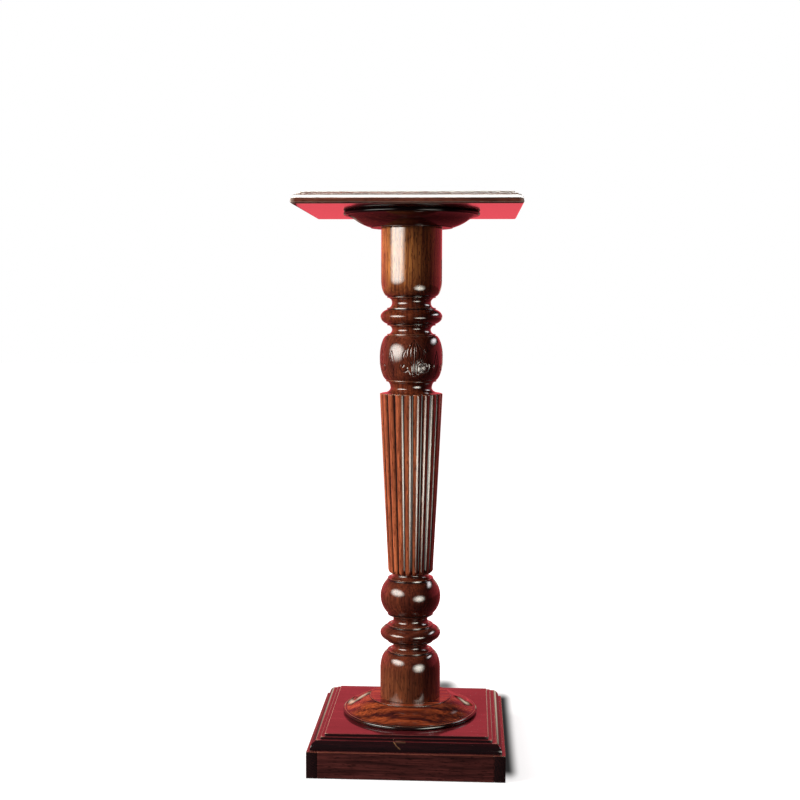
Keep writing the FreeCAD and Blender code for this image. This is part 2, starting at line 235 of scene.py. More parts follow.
@dataclass(frozen=True)
class Stripes:
    """Stripes along the grain, such as bands, threads or pores.

    Attributes:
        length: how many times wider than long a stripe is.
        scale: stripes per metre across the grain.
        low: noise level under which there is none.
        high: noise level over which it is whole.
    """

    length: float
    scale: float
    low: float
    high: float

    def show(self, nodes: Nodes, place: bpy.types.NodeSocket) -> bpy.types.NodeSocket:
        """How much stripe there is at a place in the wood, from 0 to 1."""
        slow = nodes.vector("MULTIPLY", place, (1.0, 1.0, self.length))
        return nodes.ramp(nodes.noise(slow, self.scale, 3.0).outputs[0], (self.low, 0.0), (self.high, 1.0))


BANDS = Stripes(0.09, 75.0, 0.34, 0.64)
THREADS = Stripes(0.05, 210.0, 0.40, 0.62)
PORES = Stripes(0.16, 620.0, 0.56, 0.66)
ONE_RING = ((0.0, 0.6), (0.2, 0.12), (0.5, 0.3), (0.84, 1.0), (1.0, 0.6))


@dataclass(frozen=True)
class Wood:
    """Solid wood: growth rings round a pith line, fibres and pores, what was put over them, and painted shade
    and highlights.

    Attributes:
        name: the material's name.
        grain: which way the grain runs.
        pale: colour of the wood that grew fast.
        dark: colour of its rings and streaks.
        pith: offset of the pith line, the grain's own axis last.
        ring: width of one growth ring.
        sway: how far the rings wander along the grain.
        ring_show: how much the rings darken the wood.
        streak_show: how much its bands and threads do.
        pore_show: how much its pores do.
        varnish: weight of the coat, from 0 to 1.
        roughness: roughness under the coat.
        relief: strength of the fibres' relief.
        rub_and_highlight: pale colour of the arrises, where the stain is rubbed thin and, on the boards, a
            painted highlight.
        rub_and_highlight_show: how much of that colour shows.
        foot: tint of the colour low down on the piece.
        foot_reach: height up to which that tint is whole, and height at which it ends.
        painted_shade_and_end_grain: colour of the painted shade in the inner corners, quirks, cuts and
            moulded faces, also taken by the darker end grain of the box boards.
        chipped: colour of the bare wood in a chip.
    """

    name: str
    grain: Grain
    pale: Tint
    dark: Tint
    pith: Tint
    ring: float = 0.0075
    sway: float = 0.03
    ring_show: float = 0.75
    streak_show: float = 0.42
    pore_show: float = 0.7
    varnish: float = 1.0
    roughness: float = 0.38
    relief: float = 0.1
    rub_and_highlight: Tint = (0.60, 0.32, 0.18)
    rub_and_highlight_show: float = 0.4
    foot: Tint = (1.0, 1.0, 1.0)
    foot_reach: tuple[float, float] = (-2.0, -1.0)
    painted_shade_and_end_grain: Tint = (0.008, 0.007, 0.008)
    chipped: Tint = (0.66, 0.36, 0.16)

    def place(self, nodes: Nodes) -> bpy.types.NodeSocket:
        """Turn the object coordinates with the grain along the third axis and the pith line at the middle.

        Args:
            nodes: the tree's calls.

        Returns:
            The wood's coordinates.
        """
        split = nodes.add("ShaderNodeSeparateXYZ", {0: nodes.coordinates()})
        turned = nodes.add("ShaderNodeCombineXYZ", {
            i: split.outputs[axis] for i, axis in enumerate(self.grain.value)})
        return nodes.add("ShaderNodeMapping", {"Vector": turned.outputs[0], "Location": self.pith}).outputs[0]

    def rings(self, nodes: Nodes, place: bpy.types.NodeSocket) -> bpy.types.NodeSocket:
        """Darkness of the growth rings, which wander along the grain.

        Args:
            nodes: the tree's calls.
            place: the wood's coordinates.

        Returns:
            The darkness, from 0 to 1.
        """
        slow = nodes.vector("MULTIPLY", place, (1.0, 1.0, 0.22))
        wander = nodes.noise(slow, 11.0, 2.5).outputs["Color"]
        wander = nodes.vector("SCALE", nodes.vector("SUBTRACT", wander, (0.5, 0.5, 0.5)), scale=self.sway)
        flat = nodes.vector("MULTIPLY", nodes.vector("ADD", place, wander), (1.0, 1.0, 0.0))
        count = nodes.math("DIVIDE", nodes.vector("LENGTH", flat), self.ring)
        ragged = nodes.noise(nodes.vector("MULTIPLY", place, (1.0, 1.0, 0.06)), 260.0, 2.0).outputs[0]
        count = nodes.math("ADD", count, nodes.math("MULTIPLY", ragged, 0.9))
        return nodes.ramp(nodes.math("FRACT", count), *ONE_RING)

    def figure(self, nodes: Nodes, place: bpy.types.NodeSocket) -> bpy.types.NodeSocket:
        """Colour of the clean wood between its pores.

        Args:
            nodes: the tree's calls.
            place: the wood's coordinates.

        Returns:
            The colour, from pale to dark.
        """
        bands = BANDS.show(nodes, place)
        threads = THREADS.show(nodes, place)
        patches = nodes.ramp(nodes.noise(place, 17.0, 2.0).outputs[0], (0.35, 0.0), (0.68, 1.0))
        darkness = nodes.math("MULTIPLY", self.rings(nodes, place), self.ring_show)
        darkness = nodes.math("ADD", darkness, nodes.math("MULTIPLY", bands, self.streak_show))
        darkness = nodes.math("ADD", darkness, nodes.math("MULTIPLY", threads, 0.5 * self.streak_show))
        darkness = nodes.math("SUBTRACT", darkness, nodes.math("MULTIPLY", patches, 0.28), clamp=True)
        return nodes.mix(darkness, self.pale, self.dark)

    def build(self) -> bpy.types.Material:
        """Make the material.

        Returns:
            A material on one Principled shader, under a coat where it is varnished.
        """
        material, nodes, output = new_material(self.name)
        place = self.place(nodes)
        fibre = nodes.noise(nodes.vector("MULTIPLY", place, (1.0, 1.0, 0.03)), 700.0, 3.0).outputs[0]
        pore = PORES.show(nodes, place)
        pore_stain = tuple(0.3 * c for c in self.dark)
        base = nodes.mix(1.0, self.figure(nodes, place), self.low_tint(nodes), "MULTIPLY")
        base = nodes.mix(1.0, base, nodes.ramp(fibre, (0.3, 0.5), (0.7, 1.4)), "MULTIPLY")
        base = nodes.mix(nodes.math("MULTIPLY", pore, self.pore_show), base, pore_stain)
        base = self.handled(nodes, base)
        height = nodes.math("SUBTRACT", nodes.math("MULTIPLY", fibre, 0.5), pore)
        bump = nodes.add("ShaderNodeBump", {"Strength": self.relief, "Distance": 0.0004, "Height": height})
        rough = nodes.math("ADD", nodes.math("MULTIPLY", pore, 0.15), self.roughness)
        shader = nodes.add("ShaderNodeBsdfPrincipled", {
            "Base Color": base, "Roughness": rough, "Normal": bump.outputs[0],
            "Specular IOR Level": 0.0, "Coat Weight": self.varnish, "Coat Roughness": 0.09, "Coat IOR": 1.5})
        nodes.feed(output.inputs["Surface"], shader.outputs[0])
        return material

    def low_tint(self, nodes: Nodes) -> bpy.types.NodeSocket:
        """Tint the colour low down on the piece.

        Args:
            nodes: the tree's calls.

        Returns:
            The tint, which is white higher up.
        """
        place = nodes.coordinates()
        height = nodes.add("ShaderNodeSeparateXYZ", {0: place}).outputs["Z"]
        return nodes.mix(nodes.reach(height, *self.foot_reach), self.foot, (1.0, 1.0, 1.0))

    def handled(self, nodes: Nodes, base: bpy.types.NodeSocket) -> bpy.types.NodeSocket:
        """Pale arrises, where the stain is rubbed thin and on the boards a painted highlight, painted shade
        in the corners, quirks and cuts, and bare wood where it is chipped.

        Args:
            nodes: the tree's calls.
            base: the wood's colour.

        Returns:
            The colour with these marks.
        """
        wear = nodes.add("ShaderNodeAttribute", attribute_name="wear").outputs["Fac"]
        chip = nodes.add("ShaderNodeAttribute", attribute_name="chip").outputs["Fac"]
        # Pale arrises, rubbed and partly a painted highlight.
        base = nodes.mix(nodes.math("MULTIPLY", wear, self.rub_and_highlight_show, clamp=True), base, self.rub_and_highlight)
        # Painted shade in the corners, quirks and cuts, and the darker end grain.
        base = nodes.mix(nodes.math("MULTIPLY", wear, -1.0, clamp=True), base, self.painted_shade_and_end_grain)
        return nodes.mix(nodes.math("MULTIPLY", chip, 1.0, clamp=True), base, self.chipped)


@dataclass(frozen=True)
class Steel:
    """Plated steel, dulled and a little spotted."""

    name: str
    bright: Tint = (0.56, 0.55, 0.52)
    spotted: Tint = (0.20, 0.13, 0.08)

    def build(self) -> bpy.types.Material:
        """Make the material.

        Returns:
            A metal with fine turning marks.
        """
        material, nodes, output = new_material(self.name)
        place = nodes.coordinates()
        spots = nodes.noise(place, 420.0, 4.0).outputs[0]
        turning = nodes.noise(nodes.vector("MULTIPLY", place, (1.0, 1.0, 14.0)), 300.0, 2.0).outputs[0]
        base = nodes.mix(nodes.ramp(spots, (0.52, 0.0), (0.72, 1.0)), self.bright, self.spotted)
        bump = nodes.add("ShaderNodeBump", {"Strength": 0.2, "Distance": 0.0001, "Height": turning})
        rough = nodes.math("ADD", nodes.math("MULTIPLY", spots, 0.3), 0.2)
        shader = nodes.add("ShaderNodeBsdfPrincipled", {
            "Base Color": base, "Roughness": rough, "Normal": bump.outputs[0], "Metallic": 1.0})
        nodes.feed(output.inputs["Surface"], shader.outputs[0])
        return material


# ---------------------------------------------------------------- outlines

@dataclass
class Outline:
    """Half section of a piece, walked upwards: the radius and height of each stretch, in metres.

    Attributes:
        level: height at which it starts, on the axis.
        stretches: the points of each stretch so far.
        here: where the last stretch ended.
        corner_turn: least turn, in radians, that counts as a corner.
        cut_share: most of a stretch that the easing of one corner takes.
        shade_reach: how far the painted shade of an inner corner spreads.
        shade: how dark that painted shade is beside the corner.
    """

    level: float
    stretches: list[np.ndarray] = field(default_factory=list)
    here: tuple[float, float] = (0.0, 0.0)
    corner_turn: float = 0.2
    cut_share: float = 0.42
    shade_reach: float = 0.0024
    shade: float = 0.85

    def __post_init__(self) -> None:
        """Start on the axis."""
        self.here = (0.0, self.level)

    def walk(self, points: np.ndarray) -> None:
        """Add a stretch that starts where the last one ended.

        Args:
            points: radius and height of each point, from where the last stretch ended.
        """
        if np.linalg.norm(points[-1] - points[0]) > 1e-7:
            self.stretches.append(points)
        self.here = (float(points[-1][0]), float(points[-1][1]))

    def line(self, radius: float, rise: float = 0.0) -> None:
        """Straight stretch to a radius."""
        self.walk(np.array([self.here, (radius, self.here[1] + rise)]))

    def bow(self, radius: float, rise: float, bulge: float, steps: int = 12) -> None:
        """Round stretch.

        Args:
            radius: radius at its end.
            rise: height of its end over its start.
            bulge: how far it stands out of its straight chord, or sinks in where it is negative.
            steps: pieces that it is made of.
        """
        start = np.array(self.here)
        end = np.array((radius, self.here[1] + rise))
        along = end - start
        chord = float(np.linalg.norm(along))
        outward = np.array((along[1], -along[0])) / chord
        round_radius = (chord ** 2 / 4 + bulge ** 2) / (2 * bulge)
        centre = (start + end) / 2 + outward * (bulge - round_radius)
        half_turn = math.asin(chord / 2 / round_radius)
        turns = np.linspace(-half_turn, half_turn, steps + 1)[:, None]
        points = centre + round_radius * (np.cos(turns) * outward + np.sin(turns) * along / chord)
        self.walk(points)

    def bend(self, radius: float, rise: float, depth: float, upright_end: bool, steps: int = 18) -> None:
        """Stretch of an oval.

        Args:
            radius: radius at its end.
            rise: height of its end over its start.
            depth: half the oval's width.
            upright_end: whether it is upright at its end, or else at its start.
            steps: pieces that it is made of.
        """
        here = np.array(self.here)
        there = np.array((radius, self.here[1] + rise))
        upright, sloping = (there, here) if upright_end else (here, there)
        step = sloping[0] - upright[0]
        share = 1 - abs(step) / depth
        half_height = rise / math.sqrt(1 - share ** 2)
        turns = np.linspace(0.0, math.acos(share), steps + 1)
        radii = upright[0] + math.copysign(depth, step) * (1 - np.cos(turns))
        heights = upright[1] + math.copysign(half_height, sloping[1] - upright[1]) * np.sin(turns)
        points = np.stack([radii, heights], 1)
        self.walk(points[::-1] if upright_end else points)

    def belly(self, radius: float, height: float, depth: float, end_radius: float, steps: int = 18) -> None:
        """Ring or ball, widest at its middle.

        Args:
            radius: radius at its middle.
            height: its whole height.
            depth: half the width of the oval that it is part of.
            end_radius: radius at its two ends.
            steps: pieces that each half is made of.
        """
        self.line(end_radius)
        self.bend(radius, height / 2, depth, True, steps)
        self.bend(end_radius, height / 2, depth, False, steps)

    def rows(self, arris: float) -> np.ndarray:
        """Points of the whole outline with every corner eased.

        Args:
            arris: how far from a corner its easing starts.

        Returns:
            One row a point: radius, height and a mark that is 1 on an outer corner, rubbed pale, and -1 in an
                inner one, in painted shade.
        """
        cuts = [[0.0, 0.0] for _ in self.stretches]
        corners = []
        for i in range(len(self.stretches) - 1):
            before, after = self.stretches[i], self.stretches[i + 1]
            way_in = before[-1] - before[-2]
            way_out = after[1] - after[0]
            cross = way_in[0] * way_out[1] - way_in[1] * way_out[0]
            turn = math.atan2(cross, float(way_in @ way_out))
            corners.append(turn)
            if abs(turn) > self.corner_turn:
                cut = min(arris, self.cut_share * length_of(before), self.cut_share * length_of(after))
                cuts[i][1] = cuts[i + 1][0] = cut
        found = []
        for i, stretch in enumerate(self.stretches):
            part = trimmed(stretch, *cuts[i])
            found += [(r, z, 0.0) for r, z in part]
            if i < len(corners) and cuts[i][1] > 0:
                after = trimmed(self.stretches[i + 1], *cuts[i + 1])
                corner = stretch[-1]
                for t in (0.25, 0.5, 0.75):
                    point = (1 - t) ** 2 * part[-1] + 2 * t * (1 - t) * corner + t ** 2 * after[0]
                    found.append((point[0], point[1], math.copysign(1.0, corners[i])))
        kept = [found[0]]
        for row in found[1:]:
            if math.hypot(row[0] - kept[-1][0], row[1] - kept[-1][1]) > DOUBLE_POINT:
                kept.append(row)
        return self.shaded(np.array(kept))

    def shaded(self, rows: np.ndarray) -> np.ndarray:
        """Spread the painted shade of each inner corner over its two sides.

        Args:
            rows: radius, height and mark of each point, rubbing above 0 and painted shade below.

        Returns:
            The rows with points added where the dark ends.
        """
        inner = rows[rows[:, 2] < 0, :2]
        found = []
        for before, after in zip(rows, rows[1:]):
            found.append(before)
            length = math.hypot(after[0] - before[0], after[1] - before[1])
            if length > 2.5 * self.shade_reach:
                for share in (self.shade_reach / length, 1 - self.shade_reach / length):
                    found.append((1 - share) * before + share * after)
                    found[-1][2] = 0.0
        found.append(rows[-1])
        rows = np.array(found)
        if len(inner):
            gaps = np.hypot(rows[:, None, 0] - inner[None, :, 0], rows[:, None, 1] - inner[None, :, 1])
            plain = rows[:, 2] == 0
            rows[plain, 2] = -self.shade * np.clip(1 - gaps.min(axis=1)[plain] / self.shade_reach, 0, 1)
        return rows


def length_of(points: np.ndarray) -> float:
    """Length along a chain of points."""
    return float(np.linalg.norm(np.diff(points, axis=0), axis=1).sum())


def trimmed(points: np.ndarray, start: float, end: float, support: float = 0.0007) -> np.ndarray:
    """Chain of points with its ends cut off, and with support points where it is one long straight.

    Args:
        points: the chain.
        start: length cut off its start.
        end: length cut off its end.
        support: distance of the support points from the ends.

    Returns:
        The shorter chain.
    """
    steps = np.linalg.norm(np.diff(points, axis=0), axis=1)
    along = np.concatenate([[0.0], np.cumsum(steps)])
    stops = [start, *[a for a in along if start + 1e-6 < a < along[-1] - end - 1e-6], along[-1] - end]
    if len(points) == 2 and stops[-1] - stops[0] > 4 * support:
        stops = [stops[0], stops[0] + support, stops[-1] - support, stops[-1]]
    return np.stack([np.interp(stops, along, points[:, k]) for k in (0, 1)], 1)


# ---------------------------------------------------------------- turnings

class TurningTree:
    """Geometry nodes that sweep an outline round the axis, as a plain round or as convex reeds."""

    SECTORS = "Sectors"
    COLUMNS = "Columns"
    FIRST = "First turn"
    FINISH = "Finish"
    LEAST_QUIRK = 0.0003
    QUIRK_SHADE = 1.35
    SEAM = 4e-7

    def __init__(self) -> None:
        """Build the tree once for all turnings."""
        self.tree = bpy.data.node_groups.new("turning", "GeometryNodeTree")
        self.nodes = Nodes(self.tree)
        self.sockets = {}
        face = self.tree.interface
        face.new_socket("Geometry", in_out="INPUT", socket_type="NodeSocketGeometry")
        for name, kind in ((self.SECTORS, "NodeSocketInt"), (self.COLUMNS, "NodeSocketInt"),
                           (self.FIRST, "NodeSocketFloat"), (self.FINISH, "NodeSocketMaterial")):
            self.sockets[name] = face.new_socket(name, in_out="INPUT", socket_type=kind).identifier
        face.new_socket("Geometry", in_out="OUTPUT", socket_type="NodeSocketGeometry")
        self.wire()

    def wire(self) -> None:
        """Wire one sector's sheet, its shape, and the sectors round the axis."""
        n = self.nodes
        given = n.add("NodeGroupInput").outputs
        outline = given["Geometry"]
        size = n.add("GeometryNodeAttributeDomainSize", {"Geometry": outline}, component="MESH")
        count = size.outputs["Point Count"]
        columns = n.math("ADD", given[self.COLUMNS], 1.0)
        sheet = n.add("GeometryNodeMeshGrid", {
            "Size X": 1.0, "Size Y": 1.0, "Vertices X": columns, "Vertices Y": count})
        spot = n.add("ShaderNodeSeparateXYZ", {0: n.add("GeometryNodeInputPosition").outputs[0]}).outputs
        along = n.math("ADD", spot["Y"], 0.5)
        row = n.math("ROUND", n.math("MULTIPLY", along, n.math("SUBTRACT", count, 1.0)))
        across = n.math("MULTIPLY", spot["X"], 2.0)
        half = n.math("DIVIDE", math.pi, given[self.SECTORS])
        quirk = self.sampled(outline, row, "quirk")
        marked = self.marked(sheet.outputs[0], self.sampled(outline, row, "wear"), quirk, across)
        point = self.point(outline, row, quirk, across, half)
        shaped = n.add("GeometryNodeSetPosition", {"Geometry": marked, "Position": point})
        real = self.ring(shaped.outputs[0], given[self.SECTORS], given[self.FIRST], half)
        closed = n.add("GeometryNodeMergeByDistance", {"Geometry": real, "Distance": self.SEAM})
        smooth = n.add("GeometryNodeSetShadeSmooth", {"Geometry": closed.outputs[0]})
        dressed = n.add("GeometryNodeSetMaterial", {
            "Geometry": smooth.outputs[0], "Material": given[self.FINISH]})
        n.add("NodeGroupOutput", {"Geometry": dressed.outputs[0]})

    def sampled(self, outline: bpy.types.NodeSocket, row: bpy.types.NodeSocket,
                name: str) -> bpy.types.NodeSocket:
        """Read one of the outline's named numbers.

        Args:
            outline: the outline's geometry.
            row: the point to read it at.
            name: the number's name.

        Returns:
            The number's socket.
        """
        value = self.nodes.add("GeometryNodeInputNamedAttribute", {"Name": name}, data_type="FLOAT")
        given = {"Geometry": outline, "Value": value.outputs["Attribute"], "Index": row}
        return self.nodes.add("GeometryNodeSampleIndex", given, data_type="FLOAT").outputs[0]

    def marked(self, sheet: bpy.types.NodeSocket, wear: bpy.types.NodeSocket,
               quirk: bpy.types.NodeSocket, across: bpy.types.NodeSocket) -> bpy.types.NodeSocket:
        """Sheet with its marks, and painted shade down in the quirks between reeds.

        Args:
            sheet: the flat sheet, before it is shaped.
            wear: the outline's rubbing or painted shade at each point.
            quirk: depth of the quirks there.
            across: place across the reed, from -1 to 1.

        Returns:
            The sheet with its marks stored.
        """
        n = self.nodes
        cubed = n.math("POWER", n.math("ABSOLUTE", across), 3.0)
        sunk = n.math("MULTIPLY", cubed, n.math("GREATER_THAN", quirk, self.LEAST_QUIRK))
        shade = n.math("SUBTRACT", wear, n.math("MULTIPLY", sunk, self.QUIRK_SHADE))
        stored = n.add("GeometryNodeStoreNamedAttribute", {"Geometry": sheet, "Name": "wear", "Value": shade},
                       data_type="FLOAT", domain="POINT")
        return stored.outputs[0]

    def point(self, outline: bpy.types.NodeSocket, row: bpy.types.NodeSocket, quirk: bpy.types.NodeSocket,
              across: bpy.types.NodeSocket, half: bpy.types.NodeSocket) -> bpy.types.NodeSocket:
        """Place of each point of a sector: an arc through the reed's crest and its two quirks.

        Args:
            outline: the outline's geometry.
            row: the outline's point at this height.
            quirk: depth of the quirks there, 0 on a plain round.
            across: place across the reed, from -1 to 1.
            half: half the sector's turn.

        Returns:
            The place, with the sector's middle on the X axis.
        """
        n = self.nodes
        crest = self.sampled(outline, row, "radius")
        level = self.sampled(outline, row, "height")
        low = n.math("SUBTRACT", crest, quirk)
        reach = n.math("MULTIPLY", low, n.math("SINE", half))
        rise = n.math("SUBTRACT", crest, n.math("MULTIPLY", low, n.math("COSINE", half)))
        squares = n.math("ADD", n.math("MULTIPLY", reach, reach), n.math("MULTIPLY", rise, rise))
        round_radius = n.math("DIVIDE", squares, n.math("MULTIPLY", rise, 2.0))
        turn = n.math("MULTIPLY", across, n.math("ARCSINE", n.math("DIVIDE", reach, round_radius)))
        centre = n.math("SUBTRACT", crest, round_radius)
        outward = n.math("ADD", centre, n.math("MULTIPLY", round_radius, n.math("COSINE", turn)))
        sideways = n.math("MULTIPLY", round_radius, n.math("SINE", turn))
        return n.add("ShaderNodeCombineXYZ", {0: outward, 1: sideways, 2: level}).outputs[0]

    def ring(self, sector: bpy.types.NodeSocket, count: bpy.types.NodeSocket, first: bpy.types.NodeSocket,
             half: bpy.types.NodeSocket) -> bpy.types.NodeSocket:
        """Ring of like sectors.

        Args:
            sector: one sector's geometry.
            count: how many go round.
            first: turn of the first one.
            half: half a sector's turn.

        Returns:
            The ring as real geometry.
        """
        n = self.nodes
        points = n.add("GeometryNodePoints", {"Count": count})
        step = n.math("MULTIPLY", n.add("GeometryNodeInputIndex").outputs[0], n.math("MULTIPLY", half, 2.0))
        turned = n.add("ShaderNodeCombineXYZ", {2: n.math("ADD", step, first)})
        ring = n.add("GeometryNodeInstanceOnPoints", {
            "Points": points.outputs[0], "Instance": sector, "Rotation": turned.outputs[0]})
        return n.add("GeometryNodeRealizeInstances", {"Geometry": ring.outputs[0]}).outputs[0]

    def sweep(self, name: str, rows: np.ndarray, finish: bpy.types.Material,
              sectors: int = 12, columns: int = 14, quirks: np.ndarray | None = None,
              first: float = 0.0) -> bpy.types.Object:
        """Turn an outline into a closed mesh.

        Args:
            name: the piece's name.
            rows: radius, height and mark of each point of the outline, rubbing above 0 and painted shade
                below.
            finish: the piece's material.
            sectors: how many like parts go round.
            columns: faces across one part.
            quirks: depth of the reeds' quirks at each point, or nothing for a plain round.
            first: turn of the first part's middle from +X, in radians.

        Returns:
            The piece, a plain mesh.
        """
        mesh = bpy.data.meshes.new(name + "_outline")
        mesh.from_pydata([(r, 0.0, z) for r, z, _ in rows], [(i, i + 1) for i in range(len(rows) - 1)], [])
        depths = np.zeros(len(rows)) if quirks is None else quirks
        for key, values in (("radius", rows[:, 0]), ("height", rows[:, 1]), ("wear", rows[:, 2]),
                            ("quirk", depths)):
            mesh.attributes.new(key, "FLOAT", "POINT").data.foreach_set("value", values.astype(np.float32))
        source = bpy.data.objects.new(name + "_outline", mesh)
        bpy.context.scene.collection.objects.link(source)
        modifier = source.modifiers.new("turning", "NODES")
        modifier.node_group = self.tree
        for key, value in ((self.SECTORS, sectors), (self.COLUMNS, columns), (self.FIRST, first),
                           (self.FINISH, finish)):
            modifier[self.sockets[key]] = value
        return baked(source, name)


def baked(source: bpy.types.Object, name: str) -> bpy.types.Object:
    """Turn an object's geometry nodes into a plain mesh.

    Args:
        source: the object that has them, which is removed.
        name: the new piece's name.

    Returns:
        The new piece, without a modifier.
    """
    graph = bpy.context.evaluated_depsgraph_get()
    graph.update()
    mesh = bpy.data.meshes.new_from_object(
        source.evaluated_get(graph), preserve_all_data_layers=True, depsgraph=graph)
    bpy.data.objects.remove(source)
    return placed(mesh, name)


def placed(mesh: bpy.types.Mesh, name: str) -> bpy.types.Object:
    """Make a mesh sound and put it in the scene.

    Args:
        mesh: the mesh, whose doubles are merged and whose faces are turned outwards.
        name: the piece's name.

    Returns:
        The piece, at the origin.
    """
    work = bmesh.new()
    work.from_mesh(mesh)
    bmesh.ops.remove_doubles(work, verts=work.verts, dist=2e-7)
    bmesh.ops.recalc_face_normals(work, faces=work.faces)
    for face in work.faces:
        face.smooth = True
    work.to_mesh(mesh)
    work.free()
    mesh.name = name
    piece = bpy.data.objects.new(name, mesh)
    bpy.context.scene.collection.objects.link(piece)
    return piece


def fitted(piece: bpy.types.Object, slot: Slot, *nodes: str) -> bpy.types.Object:
    """Ride a finished piece on the body.

    Args:
        piece: the piece.
        slot: its material slot in the record; not used.
        nodes: the CAD nodes that it stands in for.

    Returns:
        The same piece.
    """
    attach(piece, BODY)
    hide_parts(*nodes)
    LOG.info("%s: %d faces", piece.name, len(piece.data.polygons))
    return piece


def top_of(node: str) -> float:
    """Height of a CAD node's top."""
    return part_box(node)[1].z


def foot_of(node: str) -> float:
    """Height of a CAD node's lowest point."""
    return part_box(node)[0].z


@dataclass
class Mouldings:
    """Sizes that the turned sections share."""

    fillet: float = 0.0026
    cove_step: float = 0.0012
    ring_height: float = 0.0233
    ring_depth: float = 0.020
    arris: float = 0.0006

    def band(self, edge: Outline, radius: float) -> None:
        """Narrow upright fillet."""
        edge.line(radius)
        edge.line(radius, self.fillet)

    def neck(self, edge: Outline, radius: float, height: float, fillet_radius: float) -> None:
        """Fillet, cove and fillet.

        Args:
            edge: the outline to add them to.
            radius: radius of the cove's bottom.
            height: the cove's height.
            fillet_radius: radius of both fillets.
        """
        start = fillet_radius - self.cove_step
        self.band(edge, fillet_radius)
        edge.line(start)
        edge.bend(radius, height / 2, start - radius, True)
        edge.bend(start, height / 2, start - radius, False)
        self.band(edge, fillet_radius)


@dataclass
class LowerTurning(Mouldings):
    """Drum, ring and plain ball between the collar and the shaft."""

    drum_radius: float = 0.0493
    drum_height: float = 0.0453
    drum_round: float = 0.029
    drum_depth: float = 0.013
    fillet_radius: float = 0.0373
    neck_radius: float = 0.028
    drum_cove: float = 0.014
    ball_cove: float = 0.016
    ring_radius: float = 0.0493
    ball_radius: float = 0.0492
    ball_height: float = 0.0562
    ball_depth: float = 0.041
    throat_radius: float = 0.0278

    def outline(self) -> np.ndarray:
        """Outline of the whole section, from the collar's seat to the shaft's foot.

        Returns:
            Its rows of radius, height and a mark for rubbing or painted shade.
        """
        edge = Outline(top_of("base_collar"))
        edge.line(self.drum_radius)
        edge.line(self.drum_radius, self.drum_height)
        edge.bend(self.fillet_radius, self.drum_round, self.drum_depth, False)
        self.neck(edge, self.neck_radius, self.drum_cove, self.fillet_radius)
        edge.belly(self.ring_radius, self.ring_height, self.ring_depth, self.fillet_radius)
        self.neck(edge, self.neck_radius, self.ball_cove, self.fillet_radius)
        edge.belly(self.ball_radius, self.ball_height, self.ball_depth, self.fillet_radius)
        self.band(edge, self.fillet_radius)
        start = self.fillet_radius - self.cove_step
        edge.line(start)
        rise = foot_of("column_shaft") - edge.here[1]
        edge.bend(self.throat_radius, rise, start - self.throat_radius, True)
        edge.line(0.0)
        return edge.rows(self.arris)

    def build(self, turning: TurningTree, finish: bpy.types.Material) -> None:
        """Turn the section and fit it."""
        piece = turning.sweep("lower_turning", self.outline(), finish)
        fitted(piece, Slot.POLISHED, "column_lower")


@dataclass
class UpperTurning(Mouldings):
    """Flared neck, carved ball, ring and drum between the shaft and the flange."""

    flare_radius: float = 0.0485
    flare_lip: float = 0.0006
    flare_neck: float = 0.0338
    flare_height: float = 0.0086
    flare_cove: float = 0.0104
    ball_radius: float = 0.0513
    ball_height: float = 0.0716
    ball_depth: float = 0.0134
    ball_end: float = 0.0411
    fillet_radius: float = 0.0394
    neck_radius: float = 0.0316
    drum_cove: float = 0.016
    ball_cove: float = 0.0138
    ring_radius: float = 0.0501
    drum_radius: float = 0.0492
    drum_round: float = 0.025
    drum_depth: float = 0.0106

    @property
    def ball_foot(self) -> float:
        """Height of the ball's lower edge."""
        return top_of("column_shaft") + self.flare_lip + self.flare_height + self.flare_cove + self.fillet

    def flare_outline(self) -> np.ndarray:
        """Outline of the flared neck under the ball.

        Returns:
            Its rows of radius, height and a mark for rubbing or painted shade.
        """
        edge = Outline(top_of("column_shaft"))
        edge.line(self.flare_radius)
        edge.line(self.flare_radius, self.flare_lip)
        edge.bend(self.flare_neck, self.flare_height, self.flare_radius - self.flare_neck, True)
        end = self.ball_end - self.cove_step
        edge.bend(end, self.flare_cove, end - self.flare_neck, False)
        self.band(edge, self.ball_end)
        edge.line(0.0)
        return edge.rows(self.arris)

    def upper_outline(self) -> np.ndarray:
        """Outline from the ball's upper edge to the flange's seat.

        Returns:
            Its rows of radius, height and a mark for rubbing or painted shade.
        """
        edge = Outline(self.ball_foot + self.ball_height)
        self.neck(edge, self.neck_radius, self.ball_cove, self.fillet_radius)
        edge.belly(self.ring_radius, self.ring_height, self.ring_depth, self.fillet_radius)
        self.neck(edge, self.neck_radius, self.drum_cove, self.fillet_radius)
        edge.bend(self.drum_radius, self.drum_round, self.drum_depth, True)
        edge.line(self.drum_radius, foot_of("top_flange") - edge.here[1])
        edge.line(0.0)
        return edge.rows(self.arris)

    def ball_outline(self) -> np.ndarray:
        """Outline of the ball, its rows close together for the carving.

        Returns:
            Its rows of radius, height and a mark for rubbing or painted shade.
        """
        edge = Outline(self.ball_foot)
        edge.belly(self.ball_radius, self.ball_height, self.ball_depth, self.ball_end, 62)
        edge.line(0.0)
        return edge.rows(self.arris)

    def build(self, turning: TurningTree, finish: bpy.types.Material, carved: bpy.types.Material) -> None:
        """Turn the three parts, carve the ball and fit them.

        Args:
            turning: the tree that turns them.
            finish: the drum's and the neck's wood.
            carved: the ball's wood.
        """
        for name, rows in (("upper_turning", self.upper_outline()), ("flared_neck", self.flare_outline())):
            fitted(turning.sweep(name, rows, finish), Slot.POLISHED, "column_upper")
        ball = turning.sweep("carved_ball", self.ball_outline(), carved, sectors=4, columns=134)
        Carving(self.ball_radius, self.ball_foot + self.ball_height / 2).cut(ball)
        fitted(ball, Slot.POLISHED, "column_upper")


